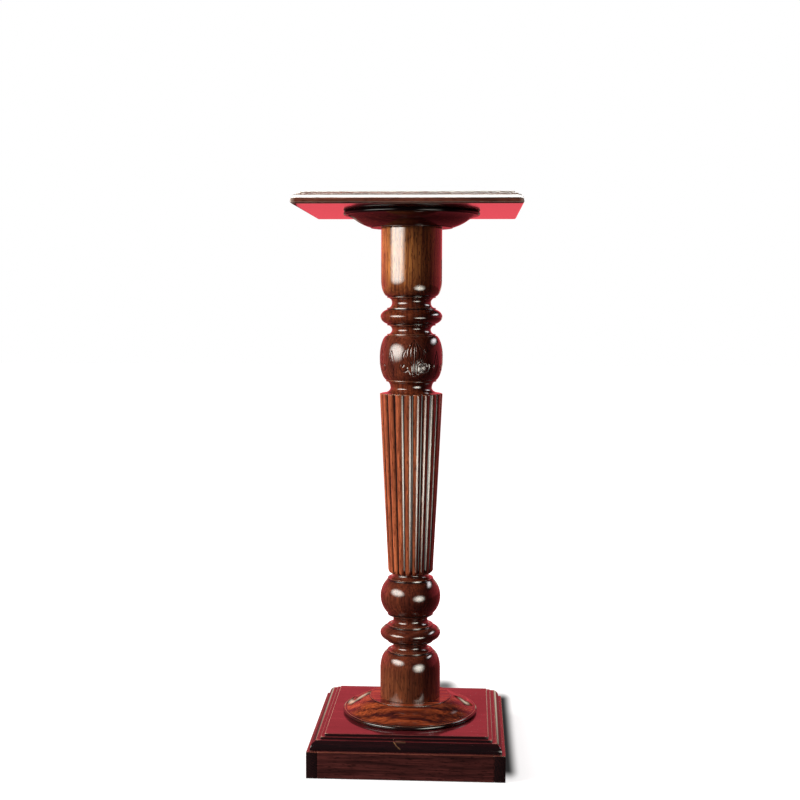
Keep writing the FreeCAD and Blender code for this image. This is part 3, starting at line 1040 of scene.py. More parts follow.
@dataclass
class Groove:
    """One cut of the carving: a chain of points round the ball, its half width and its depth."""

    points: Chain
    width: float
    depth: float
    steepness: float = 0.8

    def sink(self, across: np.ndarray, up: np.ndarray) -> np.ndarray:
        """Depth of this cut at each place.

        Args:
            across: distance of the places from the motif's middle line.
            up: their height over the ball's middle.

        Returns:
            The depths.
        """
        nearest = np.full(len(across), 1e9)
        for (ax, ay), (bx, by) in zip(self.points, self.points[1:]):
            dx, dy = bx - ax, by - ay
            share = np.clip(((across - ax) * dx + (up - ay) * dy) / (dx * dx + dy * dy), 0, 1)
            nearest = np.minimum(nearest, np.hypot(across - ax - share * dx, up - ay - share * dy))
        return self.depth * np.clip(1 - nearest / self.width, 0, 1) ** self.steepness


@dataclass
class Carving:
    """Palmettes with buds between them, cut into the ball, with painted shade in the cuts that is darkest
    where they are deep.
    """

    radius: float
    middle: float
    motifs: int = 4
    turn: float = math.radians(-81.0)
    full_dark: float = 0.0012
    most_dark: float = 1.1
    inner: float = 0.78

    def curve(self, *points: tuple[float, float], steps: int = 6) -> Chain:
        """Smooth chain through points.

        Args:
            points: the points, in millimetres.
            steps: pieces between two of them.

        Returns:
            The chain, in metres.
        """
        given = [Vector((x, y)) * 0.001 for x, y in points]
        ends = [given[0] * 2 - given[1], *given, given[-1] * 2 - given[-2]]
        found = []
        for a, b, c, d in zip(ends, ends[1:], ends[2:], ends[3:]):
            square = a * 2 - b * 5 + c * 4 - d
            cube = b * 3 - a - c * 3 + d
            for k in range(steps):
                t = k / steps
                spot = (b * 2 + (c - a) * t + square * t ** 2 + cube * t ** 3) / 2
                found.append((spot.x, spot.y))
        return (*found, tuple(given[-1]))

    def palmette(self) -> list[Groove]:
        """Half a palmette, from its stem outwards.

        Returns:
            Its cuts: the stem, three leaves, a line in each leaf, the scroll and its tail.
        """
        scroll = [(17.5 + r * math.cos(t), -13.5 + r * math.sin(t)) for r, t in (
            (7.4, 0.6), (7.5, 0.0), (7.5, -0.8), (7.3, -1.6), (7.0, -2.4), (6.3, -3.2), (5.0, -4.0),
            (3.6, -4.9), (2.6, -6.0))]
        leaf = ((3.4, -24), (3.6, -12), (6.6, 2), (7.2, 13), (4.8, 22), (3.0, 26))
        return [
            Groove(self.curve((1.7, -28), (1.5, -12), (1.6, 6), (1.1, 22), (0.2, 29)), 0.0011, 0.0007),
            Groove(self.curve(*leaf), 0.0013, 0.00075),
            Groove(self.curve((4.6, -9), (9.0, -3), (12.8, 6), (12.0, 15), (8.8, 21)), 0.0013, 0.00075),
            Groove(self.curve((7.4, -12), (13.0, -7), (18.2, 0), (18.6, 7), (15.2, 13)), 0.0013, 0.0007),
            Groove(self.curve((3.8, 10), (4.2, 3), (3.2, -6)), 0.0018, 0.0004),
            Groove(self.curve((9.4, 13), (9.6, 6), (7.0, -2)), 0.0020, 0.00045),
            Groove(self.curve((15.0, 7), (14.6, 1), (10.6, -5)), 0.0020, 0.00045),
            Groove(self.curve(*scroll), 0.0013, 0.0008),
            Groove(self.curve((9.8, -13.5), (9.4, -19), (6.6, -24.5)), 0.0012, 0.0006),
        ]

    def bud(self) -> list[Groove]:
        """Half a bud, from its middle line outwards.

        Returns:
            Its cuts: the outer line, the middle line and one between them.
        """
        rim = ((0, 11.5), (2.6, 3), (5.0, -7), (5.2, -13), (2.6, -23), (0, -31.5))
        return [
            Groove(self.curve(*rim), 0.0013, 0.00075),
            Groove(self.curve((0, -1), (0.2, -10), (0, -26)), 0.0014, 0.0005),
            Groove(self.curve((2.2, -6), (2.6, -12), (1.6, -19)), 0.0012, 0.00035),
        ]

    def cut(self, ball: bpy.types.Object) -> None:
        """Sink every cut into the ball's mesh and paint shade into it there.

        Args:
            ball: the ball.
        """
        count = len(ball.data.vertices)
        co = np.zeros(count * 3)
        ball.data.vertices.foreach_get("co", co)
        co = co.reshape(-1, 3)
        sector = 2 * math.pi / self.motifs
        turn = np.arctan2(co[:, 1], co[:, 0]) - self.turn
        turn = np.abs((turn + sector / 2) % sector - sector / 2)
        across = turn * self.radius
        up = co[:, 2] - self.middle
        depth = np.zeros(count)
        for groove in self.palmette():
            depth = np.maximum(depth, groove.sink(across, up))
        for groove in self.bud():
            depth = np.maximum(depth, groove.sink(sector / 2 * self.radius - across, up))
        span = np.hypot(co[:, 0], co[:, 1])
        depth[span < self.radius * self.inner] = 0.0
        co[:, :2] *= (1 - depth / np.maximum(span, 1e-6))[:, None]
        ball.data.vertices.foreach_set("co", co.ravel())
        # Painted shade in the cuts, darkest where they are deep.
        wear = ball.data.attributes["wear"]
        old = np.zeros(count, np.float32)
        wear.data.foreach_get("value", old)
        dark = np.clip(depth / self.full_dark, 0, self.most_dark)
        wear.data.foreach_set("value", (old - dark).astype(np.float32))
        ball.data.update()


@dataclass
class ReededShaft:
    """Tapered shaft of convex reeds, cut square at the top and rounded into fingers at the foot."""

    reeds: int = 20
    top_radius: float = 0.0513
    foot_radius: float = 0.0368
    end_radius: float = 0.0295
    end_height: float = 0.009
    end_bulge: float = 0.0026
    end_lip: float = 0.0003
    end_sink: float = 0.004
    lengths: int = 12
    quirk_top: float = 0.0032
    quirk_foot: float = 0.0024
    reed_turn: float = math.radians(5.5)
    arris: float = 0.0007

    def outline(self) -> tuple[np.ndarray, np.ndarray]:
        """Outline of a reed's crest.

        Returns:
            Its rows of radius, height and a mark for rubbing or painted shade, and the depth of the quirks at
            each.
        """
        foot, top = foot_of("column_shaft"), top_of("column_shaft")
        edge = Outline(foot)
        edge.line(self.end_radius)
        edge.bow(self.foot_radius + self.end_lip, self.end_height, self.end_bulge, 10)
        taper = (self.top_radius - edge.here[0]) / (top - edge.here[1])
        for _ in range(self.lengths):
            rise = (top - foot - self.end_height) / self.lengths
            edge.line(edge.here[0] + taper * rise, rise)
        edge.line(0.0)
        rows = edge.rows(self.arris)
        share = np.clip((rows[:, 1] - foot) / (top - foot), 0, 1)
        depth = self.quirk_foot + (self.quirk_top - self.quirk_foot) * share
        full = self.foot_radius + (self.top_radius - self.foot_radius) * share
        base = full - depth - self.end_sink * np.clip(1 - (rows[:, 1] - foot) / self.end_height, 0, 1)
        outside = rows[:, 0] > self.end_radius * 0.9
        return rows, np.where(outside, np.maximum(rows[:, 0] - base, 0.0), 0.0)

    def build(self, turning: TurningTree, finish: bpy.types.Material) -> None:
        """Sweep the reeds and fit the shaft.

        Args:
            turning: the tree that sweeps them.
            finish: the shaft's wood.
        """
        rows, quirks = self.outline()
        first = -math.pi / 2 + self.reed_turn + math.pi / self.reeds
        piece = turning.sweep("reeded_shaft", rows, finish, self.reeds, quirks=quirks, first=first)
        fitted(piece, Slot.POLISHED, "column_shaft")


@dataclass
class Disc:
    """Collar or flange: a thin round rim, a shallow dome, a fine step and a flat seat."""

    name: str
    node: str
    upturned: bool = False
    radius: float = 0.110
    rim: float = 0.0065
    rim_bulge: float = 0.0025
    quirk_radius: float = 0.106
    cove_radius: float = 0.090
    cove_rise: float = 0.0075
    cove_bulge: float = -0.0009
    dome_bulge: float = 0.0012
    step_radius: float = 0.0663
    step: float = 0.001
    rim_margin: float = 0.0004
    rim_shade: float = -0.9
    arris: float = 0.0006

    def outline(self) -> np.ndarray:
        """Outline of the disc, turned over where it is upturned.

        Returns:
            Its rows of radius, height and a mark for rubbing or painted shade.
        """
        foot, top = foot_of(self.node), top_of(self.node)
        edge = Outline(foot)
        edge.line(self.radius - self.rim_bulge)
        edge.bow(self.radius - self.rim_bulge, self.rim, self.rim_bulge)
        edge.line(self.quirk_radius)
        edge.bow(self.cove_radius, self.cove_rise, self.cove_bulge)
        edge.bow(self.step_radius, top - self.step - edge.here[1], self.dome_bulge)
        edge.line(self.step_radius, self.step)
        edge.line(0.0)
        rows = edge.rows(self.arris)
        # Painted shade: the rim is darkened nearly black.
        on_rim = rows[:, 0] > self.quirk_radius + self.rim_margin
        rows[on_rim & (rows[:, 2] <= 0), 2] = self.rim_shade
        if self.upturned:
            rows[:, 1] = foot + top - rows[:, 1]
        return rows

    def build(self, turning: TurningTree, finish: bpy.types.Material) -> None:
        """Turn the disc and fit it."""
        fitted(turning.sweep(self.name, self.outline(), finish, columns=20), Slot.POLISHED, self.node)


# ---------------------------------------------------------------- boards

def half_of_field(rows: np.ndarray) -> float:
    """Half width of a board's flat field, just inside its uppermost corner."""
    return float(rows[rows[:, 1] >= rows[:, 1].max() - 1e-6, 0].max()) + 1e-5


@dataclass
class MouldedBoard:
    """Square board with the same moulding on all four edges.

    The ovolo has a width, a rise and a bulge, and each step over it a width and a height. The pale rubbing,
    partly a painted highlight, is whole in the top band and less below it, and the steep faces can take
    painted shade.
    """

    name: str
    node: str
    arris: float
    ovolo: tuple[float, float, float]
    steps: Chain
    corner: float = 0.0012
    ease: float = 0.0006
    pitch: float = 0.006
    front_rub_and_highlight: float = 0.5
    face_shade: float = 0.0
    steep: float = 0.35
    top_band: float = 0.0015
    low_rub_and_highlight: float = 0.35
    corner_rub_and_highlight: float = 0.4

    def outline(self) -> np.ndarray:
        """Outline of the moulding.

        Returns:
            Its rows of half width, height and a mark for rubbing, painted highlight or painted shade.
        """
        low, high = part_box(self.node)
        half = high.x
        width, rise, bulge = self.ovolo
        edge = Outline(low.z)
        edge.line(half - self.arris)
        edge.line(half, self.arris)
        edge.line(half, high.z - low.z - self.arris - rise - sum(riser for _, riser in self.steps))
        edge.bow(half - width, rise, bulge, 14)
        for ledge, riser in self.steps:
            edge.line(edge.here[0] - ledge)
            edge.line(edge.here[0], riser)
        edge.line(0.0)
        rows = edge.rows(self.ease)
        steps = np.abs(np.diff(rows[:, :2], axis=0))
        steep = steps[:, 1] > self.steep * steps[:, 0]
        face = np.concatenate([[False], steep[1:] & steep[:-1], [False]]) & (rows[:, 2] <= 0)
        # Rubbing and painted highlight less below the top band, painted shade on the steep faces.
        rows[(rows[:, 2] > 0) & (rows[:, 1] < high.z - self.top_band), 2] *= self.low_rub_and_highlight
        rows[face, 2] = self.face_shade
        return rows

    def side(self, half: float, marks: tuple[float, ...] = ()) -> np.ndarray:
        """Places of the points along one side.

        Args:
            half: half width of the board.
            marks: further places that get a point, from the side's middle.

        Returns:
            The places as shares of the half width.
        """
        count = int(2 * half / self.pitch)
        places = list(np.linspace(-1, 1, count + 1)[1:-1])
        places += [m / half for m in marks]
        return np.array(sorted(set(round(p, 5) for p in places)))

    def ring(self, half: float, places: np.ndarray) -> np.ndarray:
        """Points round the board at one row.

        Args:
            half: half width of the board there.
            places: places along a side as shares of the half width.

        Returns:
            Each point's x and y, its share of the rubbing and painted highlight, and 1 on a rounded corner.
        """
        eased = min(self.corner, half * 0.4)
        flat = half - eased
        one = [(s * flat, -half, 0.0) for s in places]
        for k in range(CORNER_STEPS + 1):
            turn = -math.pi / 2 + k * math.pi / (2 * CORNER_STEPS)
            one.append((flat + eased * math.cos(turn), -flat + eased * math.sin(turn), 1.0))
        side = np.array(one)
        found = []
        # The left and right edges take the whole rubbing and painted highlight, the front and back their
        # share.
        for c, s, wear in ((1, 0, self.front_rub_and_highlight), (0, 1, 1.0), (-1, 0, self.front_rub_and_highlight), (0, -1, 1.0)):
            share = np.full(len(side), wear)
            found.append(np.stack([
                side[:, 0] * c - side[:, 1] * s, side[:, 0] * s + side[:, 1] * c, share, side[:, 2]], 1))
        return np.concatenate(found)

    def mesh(self, marks: tuple[float, ...] = ()) -> bpy.types.Mesh:
        """Closed mesh of the board with its rubbing, painted highlight and painted shade.

        Args:
            marks: places along a side that get a row of points, from its middle.

        Returns:
            The mesh.
        """
        rows = self.outline()
        places = self.side(float(rows[:, 0].max()), marks)
        rings = [self.ring(max(half, 1e-9), places) for half, _, _ in rows]
        count = len(rings[0])
        points = [(x, y, row[1]) for ring, row in zip(rings, rows) for x, y, _, _ in ring]
        field_half = half_of_field(rows)
        wear = [row[2] if row[2] < 0 else max(row[2] * share, self.corner_rub_and_highlight * flag * (row[0] > field_half))
                for ring, row in zip(rings, rows) for _, _, share, flag in ring]
        faces = []
        for i in range(len(rows) - 1):
            for k in range(count):
                after = (k + 1) % count
                faces.append((i * count + k, i * count + after, (i + 1) * count + after, (i + 1) * count + k))
        mesh = bpy.data.meshes.new(self.name)
        mesh.from_pydata(points, [], faces)
        mesh.attributes.new("wear", "FLOAT", "POINT").data.foreach_set("value", np.array(wear, np.float32))
        mesh.attributes.new("chip", "FLOAT", "POINT")
        return mesh

    def build(self, finish: bpy.types.Material, marks: tuple[float, ...] = ()) -> bpy.types.Object:
        """Make the board and fit it.

        Args:
            finish: its wood.
            marks: places along a side that get a row of points, from its middle.

        Returns:
            The board.
        """
        piece = placed(self.mesh(marks), self.name)
        piece.data.materials.append(finish)
        return fitted(piece, Slot.POLISHED, self.node)


@dataclass
class Dent:
    """Knock on an arris or face, with its half width and its depth; nothing is moved beyond its reach."""

    start: tuple[float, float, float]
    end: tuple[float, float, float]
    width: float
    depth: float
    bare: float = 1.0
    reach: float = 0.03

    def press(self, piece: bpy.types.Object, inward: tuple[float, float, float]) -> None:
        """Push the piece's surface in along the dent, and show the bare wood there.

        Args:
            piece: the piece.
            inward: the way that the surface goes.
        """
        a, b = Vector(self.start), Vector(self.end)
        chip = piece.data.attributes.get("chip") or piece.data.attributes.new("chip", "FLOAT", "POINT")
        way = Vector(inward).normalized()
        for vertex in piece.data.vertices:
            if (vertex.co - a).length > self.reach:
                continue
            share = max(0.0, min(1.0, (vertex.co - a).dot(b - a) / max((b - a).length_squared, 1e-12)))
            beside = vertex.co - a.lerp(b, share)
            away = (beside - way * beside.dot(way)).length / self.width
            if away < 1:
                vertex.co += way * self.depth * (1 - away ** 2)
                shown = chip.data[vertex.index]
                shown.value = max(shown.value, self.bare * (1 - away ** 2))
        piece.data.update()


@dataclass
class BoxBoard:
    """Plain board of the plinth box, eased along its edges, with its end grain dark and painted shade along
    its lower and upright edges.
    """

    name: str
    node: str
    grain: Grain
    ease: float = 0.0008
    pitch: float = 0.004
    margin: float = 1.6
    end_grain_dark: float = -0.8
    top_wear: float = 0.7
    edge_shade: float = -0.35

    def build(self, finish: bpy.types.Material) -> bpy.types.Object:
        """Make the board from its node's box and fit it.

        Args:
            finish: its wood.

        Returns:
            The board.
        """
        low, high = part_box(self.node)
        work = bmesh.new()
        bmesh.ops.create_cube(work, size=1.0)
        size = high - low
        place = Matrix.Translation((low + high) / 2) @ Matrix.Diagonal((*size, 1.0))
        bmesh.ops.transform(work, matrix=place, verts=work.verts)
        bmesh.ops.bevel(work, geom=work.edges[:], offset=self.ease, segments=3, profile=0.5, affect="EDGES")
        along = "xyz".index(self.grain.value[2].lower())
        for axis in (along, 2):
            start, end = low[axis] + self.ease * self.margin, high[axis] - self.ease * self.margin
            for place in np.linspace(start, end, max(2, int((end - start) / self.pitch))):
                normal = Vector([float(k == axis) for k in range(3)])
                bmesh.ops.bisect_plane(work, geom=work.verts[:] + work.edges[:] + work.faces[:],
                                       plane_co=normal * float(place), plane_no=normal)
        mesh = bpy.data.meshes.new(self.name)
        work.to_mesh(mesh)
        work.free()
        wear = mesh.attributes.new("wear", "FLOAT", "POINT")
        mesh.attributes.new("chip", "FLOAT", "POINT")
        for vertex in mesh.vertices:
            wear.data[vertex.index].value = self.wear_and_shade_at(vertex.co, low, high, along)
        piece = placed(mesh, self.name)
        piece.data.materials.append(finish)
        return fitted(piece, Slot.POLISHED, self.node)

    def wear_and_shade_at(self, point: Vector, low: Vector, high: Vector, along: int) -> float:
        """Rubbing, darker end grain or painted shade at a point of the board.

        Args:
            point: the point.
            low: the lowest corner of the board's box.
            high: its highest corner.
            along: number of the axis that the grain runs along.

        Returns:
            The mark: above 0 rubbed pale, below 0 dark, for the end grain and for painted shade along the
                lower and upright edges.
        """
        at_face = [abs(point[k] - low[k]) < 1e-6 or abs(point[k] - high[k]) < 1e-6 for k in range(3)]
        if at_face[along] and not (at_face[along - 1] or at_face[along - 2]):
            return self.end_grain_dark
        if sum(at_face) == 1:
            return 0.0
        # Rubbed pale along the top edges, painted shade along the lower and upright edges.
        return self.top_wear if point.z > high.z - 1.01 * self.ease else self.edge_shade


# ---------------------------------------------------------------- studio

LAMP_AIM = 0.5


def aimed(place: Vector, at: float) -> Matrix:
    """Place and turn of a lamp that faces the column at a height."""
    way = Vector((0.0, 0.0, at)) - place
    return Matrix.Translation(place) @ way.to_track_quat("-Z", "Y").to_matrix().to_4x4()


def around(turn: float, away: float, height: float) -> Vector:
    """Place round the column, its turn in degrees from the front towards the right."""
    return Vector((away * math.sin(math.radians(turn)), -away * math.cos(math.radians(turn)), height))


@dataclass(frozen=True)
class Lamp:
    """Soft lamp that lights the wood and isn't seen in its gloss."""

    name: str
    turn: float
    away: float
    height: float
    size: float
    level: float
    tint: Tint = (1.0, 1.0, 1.0)

    def hang(self) -> None:
        """Put the lamp up, so that a face turned to it shows level times its colour."""
        lamp = bpy.data.lights.new(self.name, "AREA")
        lamp.size = self.size
        lamp.color = self.tint
        holder = bpy.data.objects.new(self.name, lamp)
        holder.matrix_world = aimed(around(self.turn, self.away, self.height), LAMP_AIM)
        lamp.energy = self.level * math.pi ** 2 * (self.away ** 2 + (self.height - LAMP_AIM) ** 2)
        holder.visible_camera = False
        holder.visible_glossy = False
        bpy.context.scene.collection.objects.link(holder)


@dataclass(frozen=True)
class Panel:
    """Bright panel with soft edges that only the gloss shows, on one piece only where it names one."""

    name: str
    turn: float
    away: float
    height: float
    wide: float
    tall: float
    radiance: float
    tint: Tint = (1.0, 1.0, 1.0)
    aim: float = LAMP_AIM
    soft: float = 0.5
    only: str = ""

    def hang(self) -> None:
        """Put the panel up."""
        x, y = self.wide / 2, self.tall / 2
        mesh = bpy.data.meshes.new(self.name)
        mesh.from_pydata([(-x, -y, 0), (x, -y, 0), (x, y, 0), (-x, y, 0)], [], [(0, 1, 2, 3)])
        mesh.materials.append(self.cloth())
        panel = bpy.data.objects.new(self.name, mesh)
        panel.matrix_world = aimed(around(self.turn, self.away, self.height), self.aim)
        bpy.context.scene.collection.objects.link(panel)
        only_glossy(panel)
        if self.only:
            receivers = bpy.data.collections.new(self.name + "_receivers")
            receivers.objects.link(bpy.data.objects[self.only])
            panel.light_linking.receiver_collection = receivers

    def cloth(self) -> bpy.types.Material:
        """Make a light that falls off towards the panel's edges.

        Returns:
            The material.
        """
        material, nodes, output = new_material(self.name)
        place = nodes.coordinates()
        share = nodes.vector("MULTIPLY", place, (2 / self.wide, 2 / self.tall, 0.0))
        edge = nodes.reach(nodes.vector("LENGTH", share), 1.0 - self.soft, 1.0, 1.0, 0.0, smooth=True)
        light = nodes.math("MULTIPLY", edge, self.radiance)
        glow = nodes.add("ShaderNodeEmission", {"Color": colour(self.tint), "Strength": light})
        nodes.feed(output.inputs["Surface"], glow.outputs[0])
        return material


def only_glossy(thing: bpy.types.Object) -> None:
    """Leave a stage object out of everything but the gloss.

    Args:
        thing: the object.
    """
    thing.visible_camera = False
    thing.visible_diffuse = False
    thing.visible_transmission = False
    thing.visible_volume_scatter = False
    thing.visible_shadow = False


@dataclass
class Viewpoint:
    """Camera: its place, its turns in degrees and its focal length in pixels of an 800 pixel frame."""

    place: tuple[float, float, float] = (0.0944, -2.082, 0.7275)
    yaw: float = -3.095
    tilt: float = 4.125
    roll: float = 0.165
    focal: float = 1283.5
    frame: float = 800.0
    sensor: float = 36.0

    def set_up(self) -> None:
        """Make the scene's camera."""
        lens = bpy.data.cameras.new("camera")
        lens.sensor_width = self.sensor
        lens.lens = self.focal / self.frame * self.sensor
        camera = bpy.data.objects.new("camera", lens)
        yaw, tilt, roll = (math.radians(a) for a in (self.yaw, self.tilt, self.roll))
        ahead = Vector((math.sin(yaw) * math.cos(tilt), math.cos(yaw) * math.cos(tilt), -math.sin(tilt)))
        level = Vector((math.cos(yaw), -math.sin(yaw), 0.0))
        upright = level.cross(ahead)
        right = level * math.cos(roll) + upright * math.sin(roll)
        up = upright * math.cos(roll) - level * math.sin(roll)
        turned = Matrix((right, up, -ahead)).transposed().to_4x4()
        camera.matrix_world = Matrix.Translation(self.place) @ turned
        bpy.context.scene.collection.objects.link(camera)
        bpy.context.scene.camera = camera


@dataclass(frozen=True)
class PaintedFloorShadow:
    """Painted shadow on the floor close beside the box, with a small painted spot of shadow behind it.

    Attributes:
        middle: its middle.
        stretch: what x and y count in its shape.
        inset: how far inside the box's side it is whole.
        half_depth: half depth of its whole part, in stretched metres.
        tight: reach of its dark edge, and how open the floor is at its start.
        wide: reach of its soft edge, and how open the floor is at its start.
        spot: middle of the spot.
        spot_size: one over the spot's half width and half depth.
        spot_edge: share of the spot's size where its edge starts, and how open the floor is up to there.
    """

    middle: Tint = (0.015, 0.085, 0.0)
    stretch: Tint = (1.0, 0.4, 0.0)
    inset: float = 0.009
    half_depth: float = 0.074
    tight: tuple[float, float] = (0.020, 0.03)
    wide: tuple[float, float] = (0.06, 0.85)
    spot: Tint = (0.050, 0.345, 0.0)
    spot_size: Tint = (28.0, 16.0, 0.0)
    spot_edge: tuple[float, float] = (0.1, 0.15)

    def outside_painted_shadow(self, nodes: Nodes) -> bpy.types.NodeSocket:
        """Find how far the floor lies outside the painted shadow.

        Args:
            nodes: the calls of the floor's tree.

        Returns:
            A number from 0 close beside the box to 1 clear of it.
        """
        half = -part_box("apron_left")[0].x
        place = nodes.coordinates()
        spot = nodes.vector("MULTIPLY", nodes.vector("SUBTRACT", place, self.spot), self.spot_size)
        start, least = self.spot_edge
        patch = nodes.reach(nodes.vector("LENGTH", spot), start, 1.0, least, smooth=True)
        place = nodes.vector("MULTIPLY", nodes.vector("SUBTRACT", place, self.middle), self.stretch)
        whole = (half - self.inset, self.half_depth, 1.0)
        beside = nodes.vector("SUBTRACT", nodes.vector("ABSOLUTE", place), whole)
        away = nodes.vector("LENGTH", nodes.vector("MAXIMUM", beside, (0.0, 0.0, 0.0)))
        tight, wide = (nodes.reach(away, 0.0, end, low, smooth=True) for end, low in (self.tight, self.wide))
        return nodes.math("MULTIPLY", nodes.math("MULTIPLY", tight, wide), patch)


@dataclass
class Studio:
    """White ground, soft lamps and the cloths that the gloss reflects.

    Attributes:
        floor_half: half width of the floor.
        floor_bounce: colour that the floor throws back on the wood.
        floor_grey: how light the open floor is where the lamps light it.
        floor_glow: distances where the floor's own light starts and ends to grow, and its share at the start.
        tent_radius: radius of the tent.
        tent_top: height of its wall.
        tent_rise: height of its roof over that.
        tent_sides: how many sides it has.
        tent_red: how far before and behind the column its cloth turns from felt to red.
        tent_low: heights between which the red ends.
        ground_height: height of the ground cloth.
        ground_hole: half width of its square hole under the box.
        ground_red: places behind the column between which it turns from felt to red.
        ground_share: how bright its red is next to the tent's.
        cloth: colour of the red cloth.
        felt: colour of the dark felt.
        fill: colour of the light that fills the shadows.
        shadow: the painted shadow beside the box.
        lamps: the soft lamps.
        panels: the panels that the gloss shows.
    """

    floor_half: float = 14.0
    floor_bounce: Tint = (0.10, 0.055, 0.06)
    floor_grey: Tint = (0.5, 0.5, 0.5)
    floor_glow: Tint = (0.3, 0.8, 0.88)
    tent_radius: float = 4.2
    tent_top: float = 3.2
    tent_rise: float = 0.6
    tent_sides: int = 48
    tent_red: float = 1.8
    tent_low: tuple[float, float] = (1.6, 3.0)
    ground_height: float = 0.0004
    ground_hole: float = 0.156
    ground_red: tuple[float, float] = (-0.2, 0.6)
    ground_share: float = 0.45
    cloth: Tint = (1.2, 0.13, 0.17)
    felt: Tint = (0.016, 0.021, 0.025)
    fill: Tint = (0.12, 0.08, 0.09)
    shadow: PaintedFloorShadow = PaintedFloorShadow()
    lamps: tuple[Lamp, ...] = (
        Lamp("key_lamp", -66.0, 1.9, 1.15, 0.8, 1.2, (1.0, 0.98, 0.94)),
        Lamp("back_lamp", 165.0, 2.2, 1.2, 1.2, 0.7, (1.0, 0.97, 0.94)),
    )
    panels: tuple[Panel, ...] = (
        Panel("window", -53.0, 1.735, 1.01, 2.5, 1.35, 17.0, (1.0, 1.0, 0.93), 1.0, 0.72),
        Panel("low_panel", 35.0, 1.0, 0.25, 1.05, 0.66, 20.0, (1.0, 0.99, 0.88), 0.2, 1.0),
        Panel("rim_panel", 113.0, 1.95, 1.62, 2.1, 0.85, 13.0, (1.0, 0.97, 1.0), 0.5, 1.0),
        Panel("left_glow", -163.0, 3.9, 0.40, 0.90, 1.10, 2.0, (1.0, 0.80, 0.62), 0.1, 0.9),
        Panel("right_glow", 163.0, 3.9, 0.40, 0.90, 1.10, 2.0, (1.0, 0.80, 0.62), 0.1, 0.9),
        Panel("edge_light", 0.0, 0.6, 2.5, 5.0, 1.5, 26.0, (1.0, 1.0, 0.95), 0.9, 0.3, "table_board"),
    )

    def set_up(self) -> None:
        """Build the whole studio."""
        self.floor()
        self.tent()
        self.world()
        for light in (*self.lamps, *self.panels):
            light.hang()
        Viewpoint().set_up()
        bpy.context.scene.view_settings.view_transform = "Standard"

    def seen(self, nodes: Nodes) -> bpy.types.NodeSocket:
        """Tell the rays that show the background from the rest.

        Args:
            nodes: the tree's calls.

        Returns:
            1 for camera, glossy and transmission rays, and 0 for the others.
        """
        path = nodes.add("ShaderNodeLightPath").outputs
        shown = nodes.math("MAXIMUM", path["Is Camera Ray"], path["Is Glossy Ray"])
        return nodes.math("MAXIMUM", shown, path["Is Transmission Ray"])

    def world(self) -> None:
        """White background, and a soft fill for the object."""
        world = bpy.data.worlds.new("studio")
        bpy.context.scene.world = world
        world.use_nodes = True
        world.node_tree.nodes.clear()
        nodes = Nodes(world.node_tree)
        shade = nodes.mix(self.seen(nodes), self.fill, (1.0, 1.0, 1.0))
        light = nodes.add("ShaderNodeBackground", {"Color": shade, "Strength": 1.0})
        nodes.add("ShaderNodeOutputWorld", {"Surface": light.outputs[0]})

    def floor(self) -> None:
        """White floor with a painted shadow near the object, plain white further out."""
        mesh = bpy.data.meshes.new("floor")
        h = self.floor_half
        mesh.from_pydata([(-h, -h, 0), (h, -h, 0), (h, h, 0), (-h, h, 0)], [], [(0, 1, 2, 3)])
        ground = bpy.data.objects.new("floor", mesh)
        bpy.context.scene.collection.objects.link(ground)
        material, nodes, output = new_material("white_floor")
        shown = self.seen(nodes)
        # Painted shadow beside the box: it darkens both the floor's colour and its glow.
        outside_painted_shadow = self.shadow.outside_painted_shadow(nodes)
        lit = nodes.mix(outside_painted_shadow, (0.0, 0.0, 0.0), self.floor_grey)
        matt = nodes.add("ShaderNodeBsdfDiffuse", {"Color": nodes.mix(shown, self.floor_bounce, lit)})
        far = nodes.reach(nodes.vector("LENGTH", nodes.coordinates()), *self.floor_glow)
        glow = nodes.math("MULTIPLY", shown, nodes.math("MULTIPLY", outside_painted_shadow, far))
        white = nodes.add("ShaderNodeEmission", {"Color": (1.0, 1.0, 1.0, 1.0), "Strength": glow})
        both = nodes.add("ShaderNodeAddShader", {0: matt.outputs[0], 1: white.outputs[0]})
        nodes.feed(output.inputs["Surface"], both.outputs[0])
        mesh.materials.append(material)

    def lathed(self, name: str, rings: Chain, hole: float = 0.0) -> bpy.types.Object:
        """Round stage object.

        Args:
            name: its name.
            rings: radius and height of each of its rings.
            hole: half width of a square hole, which takes the first ring's place.

        Returns:
            The object.
        """
        work = bmesh.new()
        rows = []
        for k, (radius, height) in enumerate(rings):
            row = []
            for side in range(self.tent_sides):
                turn = 2 * math.pi * side / self.tent_sides
                c, s = math.cos(turn), math.sin(turn)
                reach = hole / max(abs(c), abs(s)) if hole and k == 0 else radius
                row.append(work.verts.new((reach * c, reach * s, height)))
            rows.append(row)
        for low, high in zip(rows, rows[1:]):
            for k in range(self.tent_sides):
                after = (k + 1) % self.tent_sides
                work.faces.new((low[k], high[k], high[after], low[after]))
        bmesh.ops.remove_doubles(work, verts=work.verts, dist=1e-6)
        mesh = bpy.data.meshes.new(name)
        work.to_mesh(mesh)
        work.free()
        made = bpy.data.objects.new(name, mesh)
        bpy.context.scene.collection.objects.link(made)
        return made

    def tent(self) -> None:
        """Round tent that only the gloss and the fill see, with a ground cloth that only the gloss sees."""
        wall = ((self.tent_radius, -0.01), (self.tent_radius, self.tent_top))
        tent = self.lathed("tent", (*wall, (0.0, self.tent_top + self.tent_rise)))
        tent.data.materials.append(self.tent_cloth())
        tent.visible_camera = False
        tent.visible_transmission = False
        tent.visible_shadow = False
        rings = ((0.0, self.ground_height), (self.tent_radius, self.ground_height))
        ground = self.lathed("ground_cloth", rings, self.ground_hole)
        ground.data.materials.append(self.ground_felt())
        only_glossy(ground)

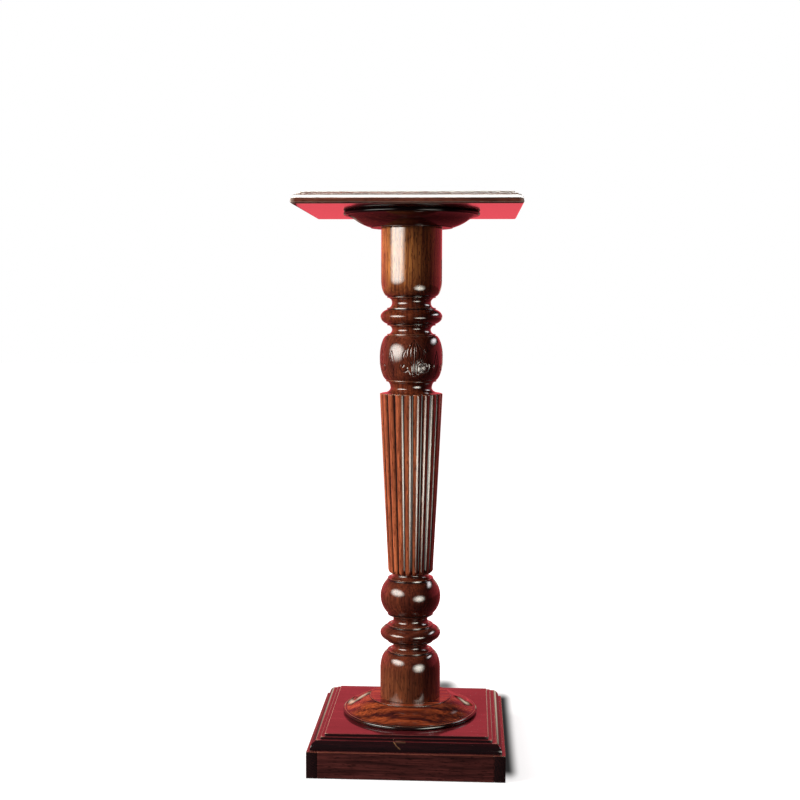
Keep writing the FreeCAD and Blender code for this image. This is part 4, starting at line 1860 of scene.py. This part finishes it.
    def ground_felt(self) -> bpy.types.Material:
        """Make the ground cloth's material: dark felt, and dim red behind the column.

        Returns:
            The material.
        """
        material, nodes, output = new_material("ground_felt")
        place = nodes.coordinates()
        behind = nodes.reach(nodes.add("ShaderNodeSeparateXYZ", {0: place}).outputs["Y"], *self.ground_red)
        shade = nodes.mix(behind, self.felt, tuple(self.ground_share * c for c in self.cloth))
        glow = nodes.add("ShaderNodeEmission", {"Color": shade, "Strength": 1.0})
        nodes.feed(output.inputs["Surface"], glow.outputs[0])
        return material

    def tent_cloth(self) -> bpy.types.Material:
        """Make the tent's material: red low down behind, dark felt elsewhere, and a dim glow for the fill.

        Returns:
            The material.
        """
        material, nodes, output = new_material("tent_cloth")
        place = nodes.coordinates()
        split = nodes.add("ShaderNodeSeparateXYZ", {0: place}).outputs
        behind = nodes.reach(split["Y"], -self.tent_red, self.tent_red, smooth=True)
        low = nodes.reach(split["Z"], *self.tent_low, 1.0, 0.0)
        shade = nodes.mix(nodes.math("MULTIPLY", behind, low), self.felt, self.cloth)
        shade = nodes.mix(nodes.add("ShaderNodeLightPath").outputs["Is Diffuse Ray"], shade, self.fill)
        light = nodes.add("ShaderNodeEmission", {"Color": shade, "Strength": 1.0})
        nodes.feed(output.inputs["Surface"], light.outputs[0])
        return material


# ---------------------------------------------------------------- the pedestal

RED_WOOD = (0.055, 0.011, 0.009)
PLINTH_WOOD: dict[str, Tint | float] = {
    "pale": (0.20, 0.052, 0.044), "dark": (0.07, 0.020, 0.018), "rub_and_highlight": (0.50, 0.17, 0.08), "rub_and_highlight_show": 0.6}


@dataclass
class Pedestal:
    """All pieces of the stand in their finishes, with a light scratch on the front of the plinth."""

    top: MouldedBoard = field(default_factory=lambda: MouldedBoard(
        "table_board", "top_board", arris=0.002, ovolo=(0.0055, 0.011, 0.0014),
        steps=((0.003, 0.002), (0.005, 0.003)), ease=0.0012, front_rub_and_highlight=1.0))
    # The plinth's steep moulded faces are painted shade, and its pale side edges partly a painted highlight.
    plinth: MouldedBoard = field(default_factory=lambda: MouldedBoard(
        "plinth_moulding", "plinth_board", arris=0.0005, ovolo=(0.009, 0.013, 0.0024),
        steps=((0.0062, 0.0032), (0.0062, 0.0033)), ease=0.0009, front_rub_and_highlight=0.1, face_shade=-0.88))
    knocks: tuple[Dent, ...] = (
        Dent((-0.0198, -0.141, 0.0574), (-0.0148, -0.145, 0.0520), 0.0007, 0.0002, 0.7),
        Dent((-0.0148, -0.145, 0.0520), (-0.0087, -0.149, 0.0475), 0.0007, 0.0002, 0.55),
        Dent((-0.0155, -0.141, 0.0560), (-0.0010, -0.141, 0.0557), 0.0009, 0.0001, 0.12),
    )
    knock_marks: Tint = (-0.024, 0.002, 0.0005)

    def finishes(self) -> dict[str, bpy.types.Material]:
        """Make every wood of the stand, each from its own plank.

        Returns:
            The materials by name.
        """
        woods = (
            Wood("golden_turning", Grain.UPRIGHT, (0.66, 0.25, 0.066), (0.15, 0.038, 0.018),
                 pith=(0.07, 0.045, 0.3), ring_show=0.6, pore_show=0.8,
                 foot=(0.36, 0.22, 0.32), foot_reach=(0.745, 0.785)),
            Wood("red_turning", Grain.UPRIGHT, (0.22, 0.052, 0.024), RED_WOOD,
                 pith=(0.06, -0.08, 0.7), ring_show=0.35, foot=(1.4, 1.85, 1.5), foot_reach=(0.120, 0.155)),
            Wood("reeded_turning", Grain.UPRIGHT, (0.66, 0.18, 0.07), (0.17, 0.034, 0.02),
                 pith=(-0.09, 0.06, 0.2), ring_show=0.4),
            Wood("figured_disc", Grain.ACROSS, (0.52, 0.105, 0.032), (0.07, 0.013, 0.011),
                 pith=(0.02, -0.11, 0.4), ring=0.022, sway=0.10, ring_show=0.9, streak_show=0.5),
            Wood("flange_wood", Grain.ACROSS, (0.16, 0.030, 0.024), (0.05, 0.010, 0.010),
                 pith=(0.02, -0.11, 0.4), ring=0.016, sway=0.06, varnish=0.45),
            # The near-white rubbing on the plinth's and the table's arrises is partly a painted highlight.
            Wood("plinth_top", Grain.ACROSS, (0.17, 0.022, 0.028), (0.09, 0.012, 0.014),
                 pith=(0.09, -0.3, 0.1), ring=0.011, rub_and_highlight=(0.80, 0.50, 0.36), rub_and_highlight_show=0.8),
            Wood("plinth_side", Grain.ACROSS, pith=(0.25, 0.12, 0.6), ring=0.010, **PLINTH_WOOD),
            Wood("plinth_flank", Grain.FORE_AND_AFT, pith=(0.12, 0.2, 0.9), ring=0.004, **PLINTH_WOOD),
            Wood("table_top", Grain.ACROSS, (0.26, 0.085, 0.05), (0.07, 0.018, 0.014),
                 pith=(0.12, -1.1, 0.5), ring=0.012, rub_and_highlight=(0.95, 0.88, 0.74), rub_and_highlight_show=1.0),
        )
        return {wood.name: wood.build() for wood in woods}

    def build(self) -> None:
        """Make and fit every piece, from the floor up."""
        wood = self.finishes()
        turning = TurningTree()
        for side, grain, finish in (
                ("front", Grain.ACROSS, "plinth_side"), ("back", Grain.ACROSS, "plinth_side"),
                ("left", Grain.FORE_AND_AFT, "plinth_flank"), ("right", Grain.FORE_AND_AFT, "plinth_flank")):
            BoxBoard("box_" + side, "apron_" + side, grain).build(wood[finish])
        knocked = self.plinth.build(wood["plinth_top"], tuple(np.arange(*self.knock_marks)))
        for knock in self.knocks:
            knock.press(knocked, (0.0, 1.0, 0.0))
        Disc("collar_disc", "base_collar").build(turning, wood["figured_disc"])
        LowerTurning().build(turning, wood["red_turning"])
        ReededShaft().build(turning, wood["reeded_turning"])
        UpperTurning().build(turning, wood["golden_turning"], wood["red_turning"])
        Disc("flange_disc", "top_flange", True).build(turning, wood["flange_wood"])
        self.top.build(wood["table_top"])
        self.hidden()

    def hidden(self) -> None:
        """Finish the nodes that show only from below."""
        bare = Wood("sawn_block", Grain.UPRIGHT, (0.60, 0.40, 0.22), (0.34, 0.20, 0.10), pith=(0.3, 0.2, 0.0),
                    ring=0.004, sway=0.02, ring_show=0.6, varnish=0.0, roughness=0.7, relief=0.5).build()
        steel = Steel("plated_steel").build()
        for name, node in frame["nodes"].items():
            if node.hide_render:
                continue
            node.data.materials.clear()
            node.data.materials.append(steel if "screw" in name or "washer" in name else bare)
            LOG.info("%s: finished as packed", name)


def main() -> None:
    """Build the pedestal and its studio."""
    logging.basicConfig(level=logging.INFO, format="%(name)s: %(message)s")
    Pedestal().build()
    Studio().set_up()


if __name__ == "__main__":
    main()
